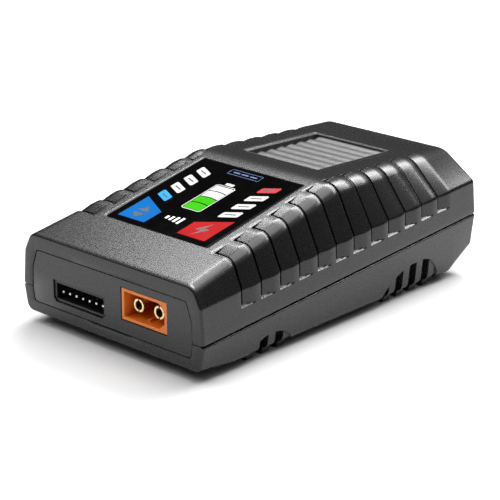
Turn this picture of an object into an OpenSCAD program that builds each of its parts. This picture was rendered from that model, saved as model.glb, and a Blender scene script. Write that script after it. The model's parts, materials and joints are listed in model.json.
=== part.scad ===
// Balance battery charger: a wedge-topped two-piece case with end plates, a backlit
// control panel, a louvred fan outlet and a mains supply with charger circuit inside.
// Origin: centre of the footprint on the ground. +Y towards the rear, +Z up, millimetres.

/* [Case] */
// Width of the case at its parting line
body_w = 66; // [58:0.5:80]
// Length of the case from front to rear
body_l = 110; // [100:1:134]
// Height of the sloped top where it meets the front
front_h = 24.9; // [24.5:0.1:30]
// Height of the ridge between the sloped panel and the rear top
ridge_h = 36.5; // [36:0.5:44]
// Height of the rear top at the rear end
rear_h = 34.2; // [33.8:0.1:41]
// Distance of the ridge from the front
ridge_y = 57.5; // [57:0.5:60]
// Height of the parting line at the front
split_front_h = 10.2; // [9.5:0.1:11]
// Height of the parting line at the rear
split_rear_h = 17.4; // [15:0.1:19]
// Wall of both shells
wall = 2; // [1.6:0.1:2.2]
// Wall of both shells at the end plates
end_wall = 2.4; // [2:0.1:3]
// Visible gap along the parting line
split_gap = 0.4; // [0.1:0.05:0.6]

/* [Ribs] */
// Distance of the first rib from the front
rib_first = 14.1; // [10:0.1:18]
// Distance from one rib to the next
rib_pitch = 7.15; // [6:0.05:9]
// Depth of the step behind each rib
rib_depth = 0.9; // [0.3:0.1:1.1]
// Length over which a step runs out
rib_ramp = 5.2; // [3:0.1:5.6]

/* [Control panel] */
// Width of the glossy panel
panel_w = 35.8; // [35:0.1:37]
// Length of the glossy panel
panel_l = 37.7; // [37:0.1:38.5]
// Distance of the panel from the front, along the slope
panel_start = 16.6; // [16:0.1:17]
// Thickness of the panel sheet
panel_t = 0.8; // [0.6:0.1:1.1]
// Gap around each button
button_gap = 0.15; // [0.1:0.01:0.25]
// Travel of each button
button_travel = 0.35; // [0.2:0.05:0.45]

/* [Connectors] */
// Middle of the balance port, left of the centre line
balance_x = -11.45; // [-13:0.05:-11]
// Cells that the balance port serves
balance_cells = 6; // [2:1:6]
// Middle of the output port, right of the centre line
output_x = 12.35; // [11:0.05:14]
// Diameter of the output port's pins
output_pin_d = 3.5; // [3:0.1:3.6]
// Middle of the mains inlet, right of the centre line
inlet_x = 10; // [6:0.5:11]
// Diameter of the mains inlet's pins
inlet_pin_d = 2.36; // [2:0.01:2.5]

/* [Vent and fan] */
// Width of the vent opening
vent_w = 26.2; // [24:0.1:27]
// Length of the vent opening
vent_l = 30.1; // [28:0.1:32]
// Distance of the vent from the ridge
vent_start = 7; // [6:0.1:8]
// Louvres in the vent
louvres = 7; // [5:1:7]
// Side of the square fan
fan_w = 30; // [29.5:0.5:30.5]
// Thickness of the fan
fan_t = 7; // [6:0.1:7.2]

/* [Boards] */
// Height of the main board's upper face above the ground
board_h = 8.3; // [8:0.1:8.6]
// Thickness of the main board
board_t = 1.6; // [1:0.1:1.6]
// Distance of the display board's upper face below the panel's face
display_depth = 6; // [5.8:0.1:6.4]
// Thickness of the display board
display_t = 1.2; // [1:0.1:1.6]

/* [Fasteners] */
// Diameter of the screws that close the case
case_screw_d = 2.6; // [2.2:0.1:3]
// Diameter of the screws that hold the main board
board_screw_d = 2; // [1.6:0.1:2.2]
// Gap around a screw in its hole
screw_gap = 0.04; // [0.02:0.01:0.1]

/* [Hidden] */
$fn = 48;

half_w = body_w / 2;
fit_gap = 0.02;                   // between a pin and what holds it
ground_gap = 1.7;                 // underside of the case above the ground
nose_h = 3.1;                     // underside at the front face
nose_y = 12;                      // where the underside becomes level
heel_h = 7.2;                     // underside at the rear face
heel_y = body_l - 9.5;            // where the underside starts to rise
side_in = 1.2;                    // taper of each side towards the underside
belly_r = 2.6;                    // rounding of the lower corners
crease_rise = 9.6;                // crease above the parting line
crease_in = 0.8;                  // crease inside the parting line
shoulder_front_in = 3.4;          // shoulder inside the widest line, at the front
shoulder_rear_in = 11.6;          // the same at the rear
ledge_rise = 5;                   // lower end of the ribs above the parting line
sharp = 0.2;                      // run of a moulded step's face
hairline = 0.05;                  // step left where a rib has run out
slope_a = atan2(ridge_h - front_h, ridge_y);
rear_a = atan2(ridge_h - rear_h, body_l - ridge_y);
ribs = floor((body_l - rib_first - 17) / rib_pitch) + 1;
touch = 0.01;                     // overlap that joins solids of one piece

lip_h = 1.4;                      // lower shell's lip above the parting line
lip_t = 0.9;
lip_gap = 0.4;
plate_gap = 0.1;                  // around each end plate
flange_w = 3 - wall;              // rim of each end plate behind its shell wall
flange_t = 1.2;

boss_x = half_w - 6.7;            // case screws
boss_front_y = 9;
boss_rear_y = body_l - 15;
boss_r = 3.2;
screw_head_r = 2.4;
screw_head_h = 1.6;
head_depth = 2.2;                 // case screw heads inside the underside

// ---------- placing ----------
module from_front() translate([0, -body_l / 2, 0]) children();
module slope_frame() from_front() translate([0, 0, front_h]) rotate([slope_a, 0, 0]) children();
module panel_frame() slope_frame() translate([0, panel_start + panel_l / 2, 0]) children();
module rear_frame() from_front() translate([0, ridge_y, ridge_h]) rotate([-rear_a, 0, 0]) children();
module fan_place() rear_frame() translate([0, vent_start + vent_l / 2, -fan_top]) children();
fan_top = wall + 1.7;             // fan's upper face below the rear top
fan_front_y = ridge_y + (vent_start + vent_l / 2 - fan_w / 2) * cos(rear_a)
    - (fan_top + fan_t / 2) * sin(rear_a);
module along_y(y0, y1) translate([0, y1, 0]) rotate([90, 0, 0]) linear_extrude(y1 - y0) children();
module along_x(x0, x1) translate([x0, 0, 0]) rotate([90, 0, 90]) linear_extrude(x1 - x0) children();
module both_sides() { children(); mirror([1, 0, 0]) children(); }
module box(x0, x1, y0, y1, z0, z1) translate([x0, y0, z0]) cube([x1 - x0, y1 - y0, z1 - z0]);

// ---------- outlines ----------
function unit(v) = v / norm(v);
function turned(v) = [v.y, -v.x];
function mirrored(p) = [for (i = [len(p) - 1:-1:0]) [-p[i].x, p[i].y]];
function at(p, i) = p[(i + len(p)) % len(p)];
// arc of n steps that rounds corner b between a and c
function corner(a, b, c, r, n) =
    let (u = unit(a - b), v = unit(c - b), half = acos(u * v) / 2,
        m = b + unit(u + v) * r / sin(half), s = b + u * r / tan(half) - m,
        way = sign(u.y * v.x - u.x * v.y) * (180 - 2 * half))
    [for (i = [0:n]) let (w = way * i / n)
        m + [s.x * cos(w) - s.y * sin(w), s.x * sin(w) + s.y * cos(w)]];
function rounded(p, r, n = 5) = [for (i = [0:len(p) - 1]) each
    (r[i] == 0 ? [p[i]] : corner(at(p, i - 1), p[i], at(p, i + 1), r[i], n))];
// corner b moved d inwards from the edges a-b and b-c of a counter-clockwise outline
function moved_in(a, b, c, d) = let (m = turned(unit(b - a)), n = turned(unit(c - b)))
    b - (m + n) * d / (1 + m * n);
function inset(p, d) = [for (i = [0:len(p) - 1]) moved_in(at(p, i - 1), p[i], at(p, i + 1), d)];

// ---------- case sections ----------
function split_z(y) = split_front_h + (split_rear_h - split_front_h) * y / body_l;
function top_z(y) = y < ridge_y ? front_h + (ridge_h - front_h) * y / ridge_y
    : ridge_h + (rear_h - ridge_h) * (y - ridge_y) / (body_l - ridge_y);
function crease_z(y) = min(split_z(y) + crease_rise, top_z(y) - 4);
function shoulder_x(y) = half_w - shoulder_front_in
    - (shoulder_rear_in - shoulder_front_in) * y / body_l;
function tick_x(y) = half_w - min(12.5, 9.1 + 0.052 * y);
function belly_z(y) = y < nose_y ? nose_h + (ground_gap - nose_h) * y / nose_y
    : y < heel_y ? ground_gap
    : ground_gap + (heel_h - ground_gap) * (y - heel_y) / (body_l - heel_y);
// depth of the rib step at y: sudden at each rib, running out behind it to a hairline
function rib_step(y) = let (k = floor((y - rib_first + sharp / 2) / rib_pitch),
        t = y - rib_first - k * rib_pitch)
    k < 0 || k >= ribs ? hairline
    : hairline + rib_depth * (t < sharp ? max(t, 0) / sharp : max(0, rib_ramp - t) / (rib_ramp - sharp));
// right half of the upper shell's outside, from the parting line to the middle of the top
function upper_half(y) = let (d = rib_step(y), s = split_z(y) + split_gap / 2, t = top_z(y),
        p = [half_w, s], c = [half_w - crease_in, crease_z(y)], sh = [shoulder_x(y), t],
        k = [tick_x(y), t], f = ledge_rise / (c.y - s), e = p + (c - p) * f,
        c2 = moved_in(p, c, sh, d), s2 = moved_in(c, sh, k, d))
    concat([p, e, [e.x - d, e.y + sharp]],
        corner([e.x - d, e.y + sharp], c2, s2, 1.5, 1),
        corner(c2, s2, [k.x, t - d], 3.5 + 0.03 * y, 4),
        [[k.x, t - d], [k.x - sharp, t]]);
function upper_section(y) = let (h = upper_half(y)) [for (p = concat(h, mirrored(h))) [p.x, y, p.y]];
function upper_inner(y) = let (h = [[half_w - wall, split_z(y) - 1],
        [half_w - crease_in - wall, crease_z(y) - 0.4 * wall],
        [shoulder_x(y) - 1.3 * wall, top_z(y) - wall]])
    [for (p = concat(h, mirrored(h))) [p.x, y, p.y]];
function lower_outline(y, w, top, rise) = let (b = belly_z(y) + rise,
        h = concat(corner([0, b], [half_w - side_in - w, b], [half_w - w, top], belly_r, 4),
            [[half_w - w, top]]))
    [for (p = concat(h, mirrored(h))) [p.x, y, p.y]];
function lower_section(y) = lower_outline(y, 0, split_z(y) - split_gap / 2, 0);
function lower_inner(y) = lower_outline(y, wall, split_z(y) + 1, wall);

function sorted(v) = len(v) < 2 ? v : let (m = v[floor(len(v) / 2)])
    concat(sorted([for (x = v) if (x < m) x]), [m], sorted([for (x = v) if (x > m) x]));
rib_stations = [for (i = [0:ribs - 1]) let (y = rib_first + i * rib_pitch) each
    [y, y + sharp, y + rib_ramp]];
upper_stations = sorted(concat([-1, ridge_y, body_l + 1],
    [for (y = rib_stations) if (abs(y - ridge_y) > 0.1) y]));

// closed skin through sections that all have the same number of points
module skin(sections) {
    n = len(sections[0]);
    m = len(sections);
    polyhedron(points = [for (s = sections) each s], convexity = 6,
        faces = concat([[for (j = [n - 1:-1:0]) j]], [[for (j = [0:n - 1]) (m - 1) * n + j]],
            [for (i = [0:m - 2], j = [0:n - 1]) let (k = (j + 1) % n) each
                [[i * n + j, (i + 1) * n + k, (i + 1) * n + j], [i * n + j, i * n + k, (i + 1) * n + k]]]));
}

// ---------- end plates ----------
// outline of the opening for an end plate at the end y of the case
function plate_half(y) = [[half_w - side_in - 3.1, belly_z(y) + 3.1],
    [half_w - 3.8, split_z(y)], [half_w - 4, crease_z(y) - 4],
    [shoulder_x(y) - 2.4, top_z(y) - 4.1]];
function plate_outline(y) = let (h = plate_half(y))
    rounded(concat(h, mirrored(h)), [1.2, 0, 1.5, 1, 1, 1.5, 0, 1.2]);
front_outline = plate_outline(0);
rear_outline = plate_outline(body_l);
module plate_openings() {
    along_y(-1, end_wall + touch) polygon(front_outline);
    along_y(body_l - end_wall - touch, body_l + 1) polygon(rear_outline);
}

// ---------- control panel layout, about the middle of the panel ----------
key_half = [[5.8, -16.9], [15.8, -16.9], [15.8, -5], [5.8, -10.1]];
light_x = 11.9;
light_y = -2.85;
light_pitch = 5;
light_w = 5.1;
light_l = 3.1;
light_skew = 1.2;                 // rise of a light's outer end
light_gap = 0.06;                 // around each light
level_w = 3;                      // half width of the charge level
level_y = -5.3;
level_pitch = 3.45;
level_l = 3.05;
level_bow = 0.45;
function light_outline(k) = let (y = light_y + k * light_pitch)
    rounded([[light_x - light_w / 2, y - light_l / 2 - light_skew],
        [light_x + light_w / 2, y - light_l / 2 + light_skew],
        [light_x + light_w / 2, y + light_l / 2 + light_skew],
        [light_x - light_w / 2, y + light_l / 2 - light_skew]], [0.5, 0.5, 0.5, 0.5], 3);
function bowed(y, b, way) = [for (i = [-4:4]) let (x = way * level_w * i / 4)
    [x, y + b * (1 - x * x / (level_w * level_w))]];
function level_outline(k) = let (y = level_y + k * level_pitch)
    concat(bowed(y, k > 0 ? level_bow : 0, 1), bowed(y + level_l, k < 3 ? level_bow : 0, -1));
nub_outline = [[-1.4, 9.25], [1.4, 9.25], [1.4, 10.35], [-1.4, 10.35]];
pipe_l = display_depth - 0.7;     // lights reach down to just above the lamps

module panel_slab(depth, outline) translate([0, 0, -depth]) linear_extrude(depth) polygon(outline);
module right_lights(k0, k1) for (k = [k0:k1]) panel_slab(pipe_l, inset(light_outline(k), light_gap));

display_screw_x = 17;
display_screw_y = [-20.8, 19.8];
key_middle = [10.8, -12.6];
module display_posts(r, n0, n1) panel_frame() for (x = [-1, 1], y = display_screw_y)
    translate([x * display_screw_x, y, -n1]) cylinder(r = r, h = n1 - n0);

// ---------- shells ----------
post_bottom_front = split_front_h + 1.2;
post_bottom_rear = split_rear_h - 1;
module case_posts(r, gap = 0) for (x = [-1, 1]) {
    translate([x * boss_x, boss_front_y, post_bottom_front - gap]) cylinder(r = r, h = 30);
    translate([x * boss_x, boss_rear_y, post_bottom_rear - gap]) cylinder(r = r, h = 30);
}

module upper_shell() color("#444546") difference() {
    from_front() intersection() {
        skin([for (y = upper_stations) upper_section(y)]);
        box(-body_w, body_w, 0, body_l, 0, 2 * ridge_h);
    }
    difference() {
        from_front() skin([for (y = [end_wall, ridge_y, body_l - end_wall]) upper_inner(y)]);
        from_front() case_posts(boss_r - 0.2);
        display_posts(2, 0, display_depth);
    }
    from_front() plate_openings();
    panel_frame() translate([-panel_w / 2, -panel_l / 2, -panel_t]) cube([panel_w, panel_l, 3]);
    panel_frame() {
        both_sides() {
            box(4.8, 16.6, -17.9, -3.8, -wall - 1, 0);
            box(light_x - 3.1, light_x + 3.1, -6.2, 15.4, -wall - 1, 0);
        }
        box(-level_w - 0.8, level_w + 0.8, -6.2, 10.8, -wall - 1, 0);
    }
    rear_frame() box(-vent_w / 2, vent_w / 2, vent_start, vent_start + vent_l, -wall - 1, 3);
    from_front() for (x = [-1, 1]) {
        translate([x * boss_x, boss_front_y, 0])
            cylinder(r = case_screw_d / 2 + screw_gap, h = post_bottom_front + 8);
        translate([x * boss_x, boss_rear_y, 0])
            cylinder(r = case_screw_d / 2 + screw_gap, h = post_bottom_rear + 8);
    }
    display_posts(0.9 + screw_gap, 2.8, display_depth + 1);
}

// arch over each foot: middle, half width and height above the ground
front_arch = [26, 8, 6.4];
rear_arch = [body_l - 26.8, 11.6, 9.4];
foot_pitch = 5.7;
foot_w = 3.2;
foot_in = 8.5;                    // length of a foot across the case
foot_out = half_w - side_in - 2.2;
function arch_outline(a) = [for (i = [0:16]) let (w = 180 * i / 16)
    [a[0] + a[1] * cos(w), a[2] * sin(w)]];
function foot_rows(a, n) = [for (i = [0:n - 1]) a[0] + (i - (n - 1) / 2) * foot_pitch];
module foot_rows_at(rows) for (y = rows)
    along_y(y - foot_w / 2, y + foot_w / 2) polygon([[foot_out - foot_in, 0], [foot_out, 0],
        [foot_out + 0.6, ground_gap + 1.2], [foot_out - foot_in - 1, ground_gap + 0.5]]);
// flutes cut into the side between the feet, deepest at their rear ends
module flutes(a, rows) intersection() {
    along_x(half_w - 5, half_w + 1) polygon(arch_outline(a));
    rotate([0, 7, 0]) union() for (y = rows)
        linear_extrude(30, center = true) polygon([[half_w - 1.1, y + foot_w / 2 - foot_pitch + 0.6],
            [half_w + 3, y + foot_w / 2 - foot_pitch + 0.6], [half_w + 3, y - foot_w / 2],
            [half_w - 2.4, y - foot_w / 2]]);
}
board_posts = [[-25, 22], [25, 22], [-25, body_l - 24], [25, body_l - 52]];
module lower_shell() color("#444546") from_front() difference() {
    union() {
        difference() {
            intersection() {
                skin([for (y = [-1, nose_y, heel_y, body_l + 1]) lower_section(y)]);
                box(-body_w, body_w, 0, body_l, -1, ridge_h);
            }
            difference() {
                skin([for (y = [end_wall, nose_y, heel_y - 0.3, body_l - end_wall]) lower_inner(y)]);
                for (x = [-1, 1], y = [boss_front_y, boss_rear_y]) translate([x * boss_x, y, 0])
                    cylinder(r = boss_r, h = (y == boss_front_y ? post_bottom_front : post_bottom_rear));
                for (p = board_posts) translate([p.x, p.y, 0]) cylinder(r = 2.6, h = board_h - board_t);
            }
            both_sides() {
                flutes(front_arch, foot_rows(front_arch, 3));
                flutes(rear_arch, foot_rows(rear_arch, 4));
            }
        }
        both_sides() {
            foot_rows_at(foot_rows(front_arch, 3));
            foot_rows_at(foot_rows(rear_arch, 4));
            lip(half_w - wall - lip_gap, lip_h);
            lip(half_w - wall + 0.2, -split_gap / 2 - touch);
        }
    }
    plate_openings();
    for (x = [-1, 1], y = [boss_front_y, boss_rear_y]) translate([x * boss_x, y, 0]) {
        cylinder(r = case_screw_d / 2 + screw_gap, h = 30);
        cylinder(r = screw_head_r + 0.15, h = ground_gap + head_depth);
    }
    for (p = board_posts) translate([p.x, p.y, ground_gap + wall - 0.5])
        cylinder(r = board_screw_d / 2 + screw_gap, h = board_h);
}
// strip along the inside of the side wall, up to a height above the parting line
module lip(x, rise) along_x(half_w - wall - lip_gap - lip_t, x)
    polygon([[end_wall + 3, split_z(end_wall + 3) - 2], [body_l - end_wall - 3,
        split_z(body_l - end_wall - 3) - 2], [body_l - end_wall - 3,
        split_z(body_l - end_wall - 3) + rise], [end_wall + 3, split_z(end_wall + 3) + rise]]);

module end_plate(outline, face_y, way, depth) {
    y1 = face_y + way * depth;
    y2 = y1 + way * flange_t;
    along_y(min(face_y, y1), max(face_y, y1)) polygon(inset(outline, plate_gap));
    along_y(min(y1, y2), max(y1, y2)) polygon(inset(outline, -flange_w));
}

// ---------- ports ----------
balance_w = 2.5 * balance_cells + 4.1;
balance_h = 5.6;
balance_z = board_h + 2.9;
balance_pin_z = board_h + 2.5;
module port_outline_balance(g) translate([balance_x - balance_w / 2 - g, balance_z - balance_h / 2 - g])
    polygon([[1, 0], [balance_w + 2 * g - 1, 0], [balance_w + 2 * g, 1],
        [balance_w + 2 * g, balance_h + 2 * g], [0, balance_h + 2 * g], [0, 1]]);
output_w = 16;
output_h = 8.4;
output_z = board_h + 5.95;
output_wall = 0.85;
output_pin_gap = 7.2;
inlet_w = 20.4;
inlet_h = 11.4;
inlet_z = board_h + 8.5;
inlet_pin_gap = 8.6;
inlet_l = 15;
pin_neck = 0.4;                   // a pin's held part is this much thinner all round
port_gap = 0.15;

module front_plate() color("#454647") from_front() difference() {
    end_plate(front_outline, 0.1, 1, end_wall - 0.1);
    along_y(-1, 6) port_outline_balance(port_gap);
    box(output_x - output_w / 2 - port_gap, output_x + output_w / 2 + port_gap, -1, 6,
        output_z - output_h / 2 - port_gap, output_z + output_h / 2 + port_gap);
}

slot_n = 6;                       // air inlet slots beside the mains inlet
module rear_plate() color("#454647") from_front() difference() {
    end_plate(rear_outline, body_l - 0.1, -1, end_wall - 0.1);
    box(inlet_x - inlet_w / 2 - port_gap, inlet_x + inlet_w / 2 + port_gap, body_l - 6, body_l + 1,
        inlet_z - inlet_h / 2 - port_gap, inlet_z + inlet_h / 2 + port_gap);
    for (i = [0:slot_n - 1]) translate([-23 + 3.6 * i, 0, 0]) {
        box(-0.9, 0.9, body_l - 6, body_l + 1, 13, 24);
        for (z = [13, 24]) translate([0, body_l + 1, z]) rotate([90, 0, 0]) cylinder(r = 0.9, h = 7);
    }
}

// cavity with a cut corner at the keyed end, seen from the front
module output_cavity() polygon([
    [output_x - output_w / 2 + output_wall, output_z - output_h / 2 + output_wall],
    [output_x + output_w / 2 - output_wall - 2, output_z - output_h / 2 + output_wall],
    [output_x + output_w / 2 - output_wall, output_z - output_h / 2 + output_wall + 1.6],
    [output_x + output_w / 2 - output_wall, output_z + output_h / 2 - output_wall - 1.6],
    [output_x + output_w / 2 - output_wall - 2, output_z + output_h / 2 - output_wall],
    [output_x - output_w / 2 + output_wall, output_z + output_h / 2 - output_wall]]);
module output_housing() color("#e0701a") from_front() difference() {
    union() {
        difference() {
            box(output_x - output_w / 2, output_x + output_w / 2, 0.3, 15.5,
                output_z - output_h / 2, output_z + output_h / 2);
            along_y(-1, 11) output_cavity();
        }
        box(output_x - 0.35, output_x + 0.35, 2, 11.1, output_z - output_h / 2 + 0.5,
            output_z - output_h / 2 + output_wall + 0.7);
        for (x = [-5, 5]) box(output_x + x - 1, output_x + x + 1, 6, 13, board_h, output_z - 4);
    }
    for (x = [-1, 1]) translate([output_x + x * output_pin_gap / 2, 16, output_z]) rotate([90, 0, 0])
        cylinder(r = output_pin_d / 2 - pin_neck + fit_gap, h = 6);
}
module output_pins() color("#d8c690") from_front() for (x = [-1, 1])
    translate([output_x + x * output_pin_gap / 2, 0, output_z]) difference() {
        union() {
            translate([0, 10.9, 0]) rotate([90, 0, 0]) cylinder(r = output_pin_d / 2, h = 8.9);
            translate([0, 19, 0]) rotate([90, 0, 0]) cylinder(r = output_pin_d / 2 - pin_neck, h = 10);
            box(-1.3, 1.3, 16.8, 18.6, board_h - board_t - 1.2 - output_z, 0);
        }
        translate([0, 9, 0]) rotate([90, 0, 0]) cylinder(r = output_pin_d / 2 - 0.55, h = 8);
        box(-0.2, 0.2, 1, 6.5, -3, 3);
    }

module balance_housing() color("#141414") from_front() difference() {
    along_y(0.5, 9.5) port_outline_balance(0);
    along_y(-1, 7) translate([balance_x, balance_z])
        square([balance_w - 1.4, balance_h - 1.4], center = true);
    for (i = [0:balance_cells]) balance_pin(i, 0.33, 6.9, 9.6);
}
module balance_pin(i, r, y0, y1) box(balance_x + (i - balance_cells / 2) * 2.5 - r,
    balance_x + (i - balance_cells / 2) * 2.5 + r, y0, y1, balance_pin_z - r, balance_pin_z + r);
module balance_pins() color("#dcdcd8") from_front() for (i = [0:balance_cells]) {
    balance_pin(i, 0.32, 1.5, 12);
    translate([balance_x + (i - balance_cells / 2) * 2.5, 11.68, 0])
        box(-0.32, 0.32, -0.32, 0.32, board_h - board_t - 1.2, balance_pin_z);
}

module inlet_housing() color("#161616") from_front() difference() {
    union() {
        box(inlet_x - inlet_w / 2, inlet_x + inlet_w / 2, body_l - inlet_l, body_l - 0.1,
            inlet_z - inlet_h / 2, inlet_z + inlet_h / 2);
        for (x = [-7, 7]) box(inlet_x + x - 1.5, inlet_x + x + 1.5, body_l - inlet_l,
            body_l - inlet_l + 5, board_h, inlet_z - 5);
    }
    for (x = [-1, 1]) translate([inlet_x + x * 4.15, body_l + 1, inlet_z]) rotate([90, 0, 0])
        cylinder(r = 4.1, h = 11.5);
    box(inlet_x - 3, inlet_x + 3, body_l - 10.5, body_l + 1, inlet_z - 3, inlet_z + 3);
    for (x = [-1, 1]) translate([inlet_x + x * inlet_pin_gap / 2, body_l - 5, inlet_z])
        rotate([90, 0, 0]) cylinder(r = inlet_pin_d / 2 - pin_neck + fit_gap, h = 11);
}
module inlet_pins() color("#d6d6d2") from_front() for (x = [-1, 1])
    translate([inlet_x + x * inlet_pin_gap / 2, body_l, inlet_z]) {
        translate([0, -1.5, 0]) rotate([90, 0, 0]) cylinder(r = inlet_pin_d / 2, h = 8.9);
        translate([0, -9, 0]) rotate([90, 0, 0]) cylinder(r = inlet_pin_d / 2 - pin_neck, h = 8.5);
        translate([0, -1.5 - inlet_pin_d / 2 - 13.6, board_h - board_t - 1.2 - inlet_z])
            cylinder(r = 0.6, h = inlet_z - board_h + board_t + 1.2);
    }

// ---------- vent and fan ----------
fan_hole = fan_w / 2 - 3;
fan_bore = fan_w / 2 - 1;
fan_hub = 7.4;
shaft_r = 0.75;
fan_blades = 7;
louvre_pitch = (vent_l - 1) / louvres;
louvre_r = 5.2;
// one louvre's section: an arc that climbs towards the rear, 0.9 thick
function louvre_outline(s) = let (a0 = 146, a1 = 96, c = [s + 4.5, -0.85 - louvre_r])
    concat([for (i = [0:8]) let (w = a0 + (a1 - a0) * i / 8) c + louvre_r * [cos(w), sin(w)]],
        [for (i = [8:-1:0]) let (w = a0 + (a1 - a0) * i / 8) c + (louvre_r - 0.9) * [cos(w), sin(w)]]);
module vent_grille() color("#5a5b5c") rear_frame() translate([0, vent_start, 0]) difference() {
    union() {
        difference() {
            box(-vent_w / 2, vent_w / 2, 0, vent_l, -wall - 1.6, -0.12);
            box(-vent_w / 2 + 0.6, vent_w / 2 - 0.6, 0.5, vent_l - 0.5, -wall - 3, 1);
        }
        for (i = [0:louvres - 1]) along_x(-vent_w / 2 + 0.5, vent_w / 2 - 0.5)
            polygon(louvre_outline(0.5 + i * louvre_pitch));
        intersection() {
            box(-vent_w / 2, vent_w / 2, 0, vent_l, -fan_top, -1.6);
            at_fan_holes(-fan_top) cylinder(r = 1.8, h = fan_top);
        }
    }
    at_fan_holes(-fan_top - 1) cylinder(r = 0.9 + screw_gap, h = 3);
}
module at_fan_holes(z) for (x = [-1, 1], y = [-1, 1])
    translate([x * fan_hole, vent_l / 2 + y * fan_hole, z]) children();

module fan_frame() color("#1c1c1e") fan_place() difference() {
    union() {
        difference() {
            translate([0, 0, -fan_t / 2]) cube([fan_w, fan_w, fan_t], center = true);
            translate([0, 0, -fan_t - 1]) cylinder(r = fan_bore, h = fan_t + 2);
        }
        for (w = [45:90:359]) rotate([0, 0, w]) box(0, fan_bore + 0.4, -1.1, 1.1, -fan_t, -fan_t + 1);
        translate([0, 0, -fan_t]) cylinder(r = fan_hub - 0.4, h = 1);
        translate([0, 0, -fan_t]) cylinder(r = 2.6, h = fan_t - 1.6);
    }
    translate([0, 0, -fan_t + 0.6]) cylinder(r = 1.9 + fit_gap, h = fan_t);
    for (x = [-1, 1], y = [-1, 1]) translate([x * fan_hole, y * fan_hole, -fan_t - 1])
        cylinder(r = 1.5, h = fan_t + 2);
}
module fan_rotor() color("#26262a") fan_place() difference() {
    union() {
        translate([0, 0, -fan_t + 1.5]) cylinder(r = fan_hub, h = fan_t - 1.9);
        intersection() {
            translate([0, 0, -fan_t + 1.4]) cylinder(r = fan_bore - 0.5, h = fan_t - 1.9);
            for (i = [0:fan_blades - 1]) rotate([0, 0, 360 * i / fan_blades])
                translate([(fan_hub + fan_bore) / 2, 0, -fan_t / 2 + 0.4]) rotate([38, 0, 0])
                    cube([fan_bore - fan_hub + 3, 7.4, 0.7], center = true);
        }
    }
    translate([0, 0, -fan_t]) cylinder(r = fan_hub - 0.9, h = fan_t - 1.2);
    translate([0, 0, -2]) cylinder(r = shaft_r, h = 3);
}
module fan_shaft() color("#c8c8cc") fan_place() translate([0, 0, -fan_t + 1])
    cylinder(r = shaft_r, h = fan_t - 1.4);
module fan_bearing() color("#a8752c") fan_place() difference() {
    translate([0, 0, -fan_t + 0.6]) cylinder(r = 1.9, h = fan_t - 2.2);
    translate([0, 0, -fan_t + 0.9]) cylinder(r = shaft_r + 0.05, h = fan_t);
}
module fan_stator() color("#b4622d") fan_place() difference() {
    union() {
        translate([0, 0, -fan_t + 1.6]) cylinder(r = 3.6, h = fan_t - 3.6);
        for (w = [0:90:359]) rotate([0, 0, w]) {
            box(3, 5.4, -1, 1, -fan_t + 2, -2.2);
            box(5.2, 5.9, -2, 2, -fan_t + 2, -2.2);
        }
    }
    translate([0, 0, -fan_t]) cylinder(r = 2.6, h = fan_t);
}
module small_screw(r, l, head_r, head_h) difference() {
    union() {
        cylinder(r = r, h = l);
        translate([0, 0, -head_h]) cylinder(r = head_r, h = head_h);
    }
    for (w = [0, 90]) rotate([0, 0, w]) box(-head_r * 0.6, head_r * 0.6, -head_r * 0.12,
        head_r * 0.12, -head_h - 1, -head_h * 0.45);
}
module fan_screws() color("#9a9a9e") fan_place() for (x = [-1, 1], y = [-1, 1])
    translate([x * fan_hole, y * fan_hole, -fan_t]) small_screw(0.9, fan_t + 1.8, 1.8, 1.1);
// octagonal ring round point p of a route in the YZ plane whose direction there is t
function ring(x, p, t, r) = [for (i = [0:7]) let (w = 22.5 + 45 * i)
    [x + r * cos(w), p.x - r * sin(w) * t.y, p.y + r * sin(w) * t.x]];
module lead(x, route, r) {
    n = len(route) - 1;
    skin([for (i = [0:n]) ring(x, route[i], unit(route[min(i + 1, n)] - route[max(i - 1, 0)]), r)]);
}
lead_x = -13.6;
lead_y = ridge_y + 1;
lead_top = ridge_h - 10;
lead_route = [[fan_front_y - 0.3, lead_top], [lead_y + 4, lead_top], [lead_y + 2, lead_top - 0.5],
    [lead_y + 0.5, lead_top - 2], [lead_y, lead_top - 4], [lead_y, board_h + 4]];
module fan_lead() color("#b5242a") from_front() for (x = [-0.65, 0.65]) lead(lead_x + x, lead_route, 0.5);
module fan_connector() color("#e6e2d4") from_front() difference() {
    box(lead_x - 2.7, lead_x + 2.7, lead_y - 2.2, lead_y + 2.2, board_h, board_h + 5);
    box(lead_x - 1.9, lead_x + 1.9, lead_y - 1.4, lead_y + 1.4, board_h + 3.9, board_h + 6);
}

// ---------- control panel pieces ----------
module display_overlay() color("#050506") panel_frame() difference() {
    translate([-panel_w / 2, -panel_l / 2, -panel_t]) cube([panel_w, panel_l, panel_t]);
    both_sides() translate([0, 0, -2]) linear_extrude(4) {
        polygon(key_half);
        for (k = [0:3]) polygon(light_outline(k));
    }
    translate([0, 0, -2]) linear_extrude(4) {
        for (k = [0:3]) polygon(inset(level_outline(k), -light_gap));
        polygon(inset(nub_outline, -light_gap));
    }
}
plunger_top = 3;
module button() {
    panel_slab(panel_t + 0.1, inset(key_half, button_gap));
    translate([0, 0, -panel_t - 0.9]) linear_extrude(0.8) polygon(inset(key_half, -0.55));
    translate([key_middle.x, key_middle.y, -plunger_top]) cylinder(r = 2, h = plunger_top - panel_t - 0.8);
}
module plunger() translate([key_middle.x, key_middle.y, -plunger_top - 1.4]) cylinder(r = 1.7, h = 1.4);
module switch_body() difference() {
    translate([key_middle.x, key_middle.y, -display_depth / 2 - plunger_top / 2 - 0.25])
        cube([6, 6, display_depth - plunger_top - 0.5], center = true);
    translate([key_middle.x, key_middle.y, -plunger_top - 1.4 - button_travel - 0.1])
        cylinder(r = 1.78, h = 4);
}
module mode_button() color("#2e7fd0") panel_frame() mirror([1, 0, 0]) button();
module current_button() color("#e33035") panel_frame() button();
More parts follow.
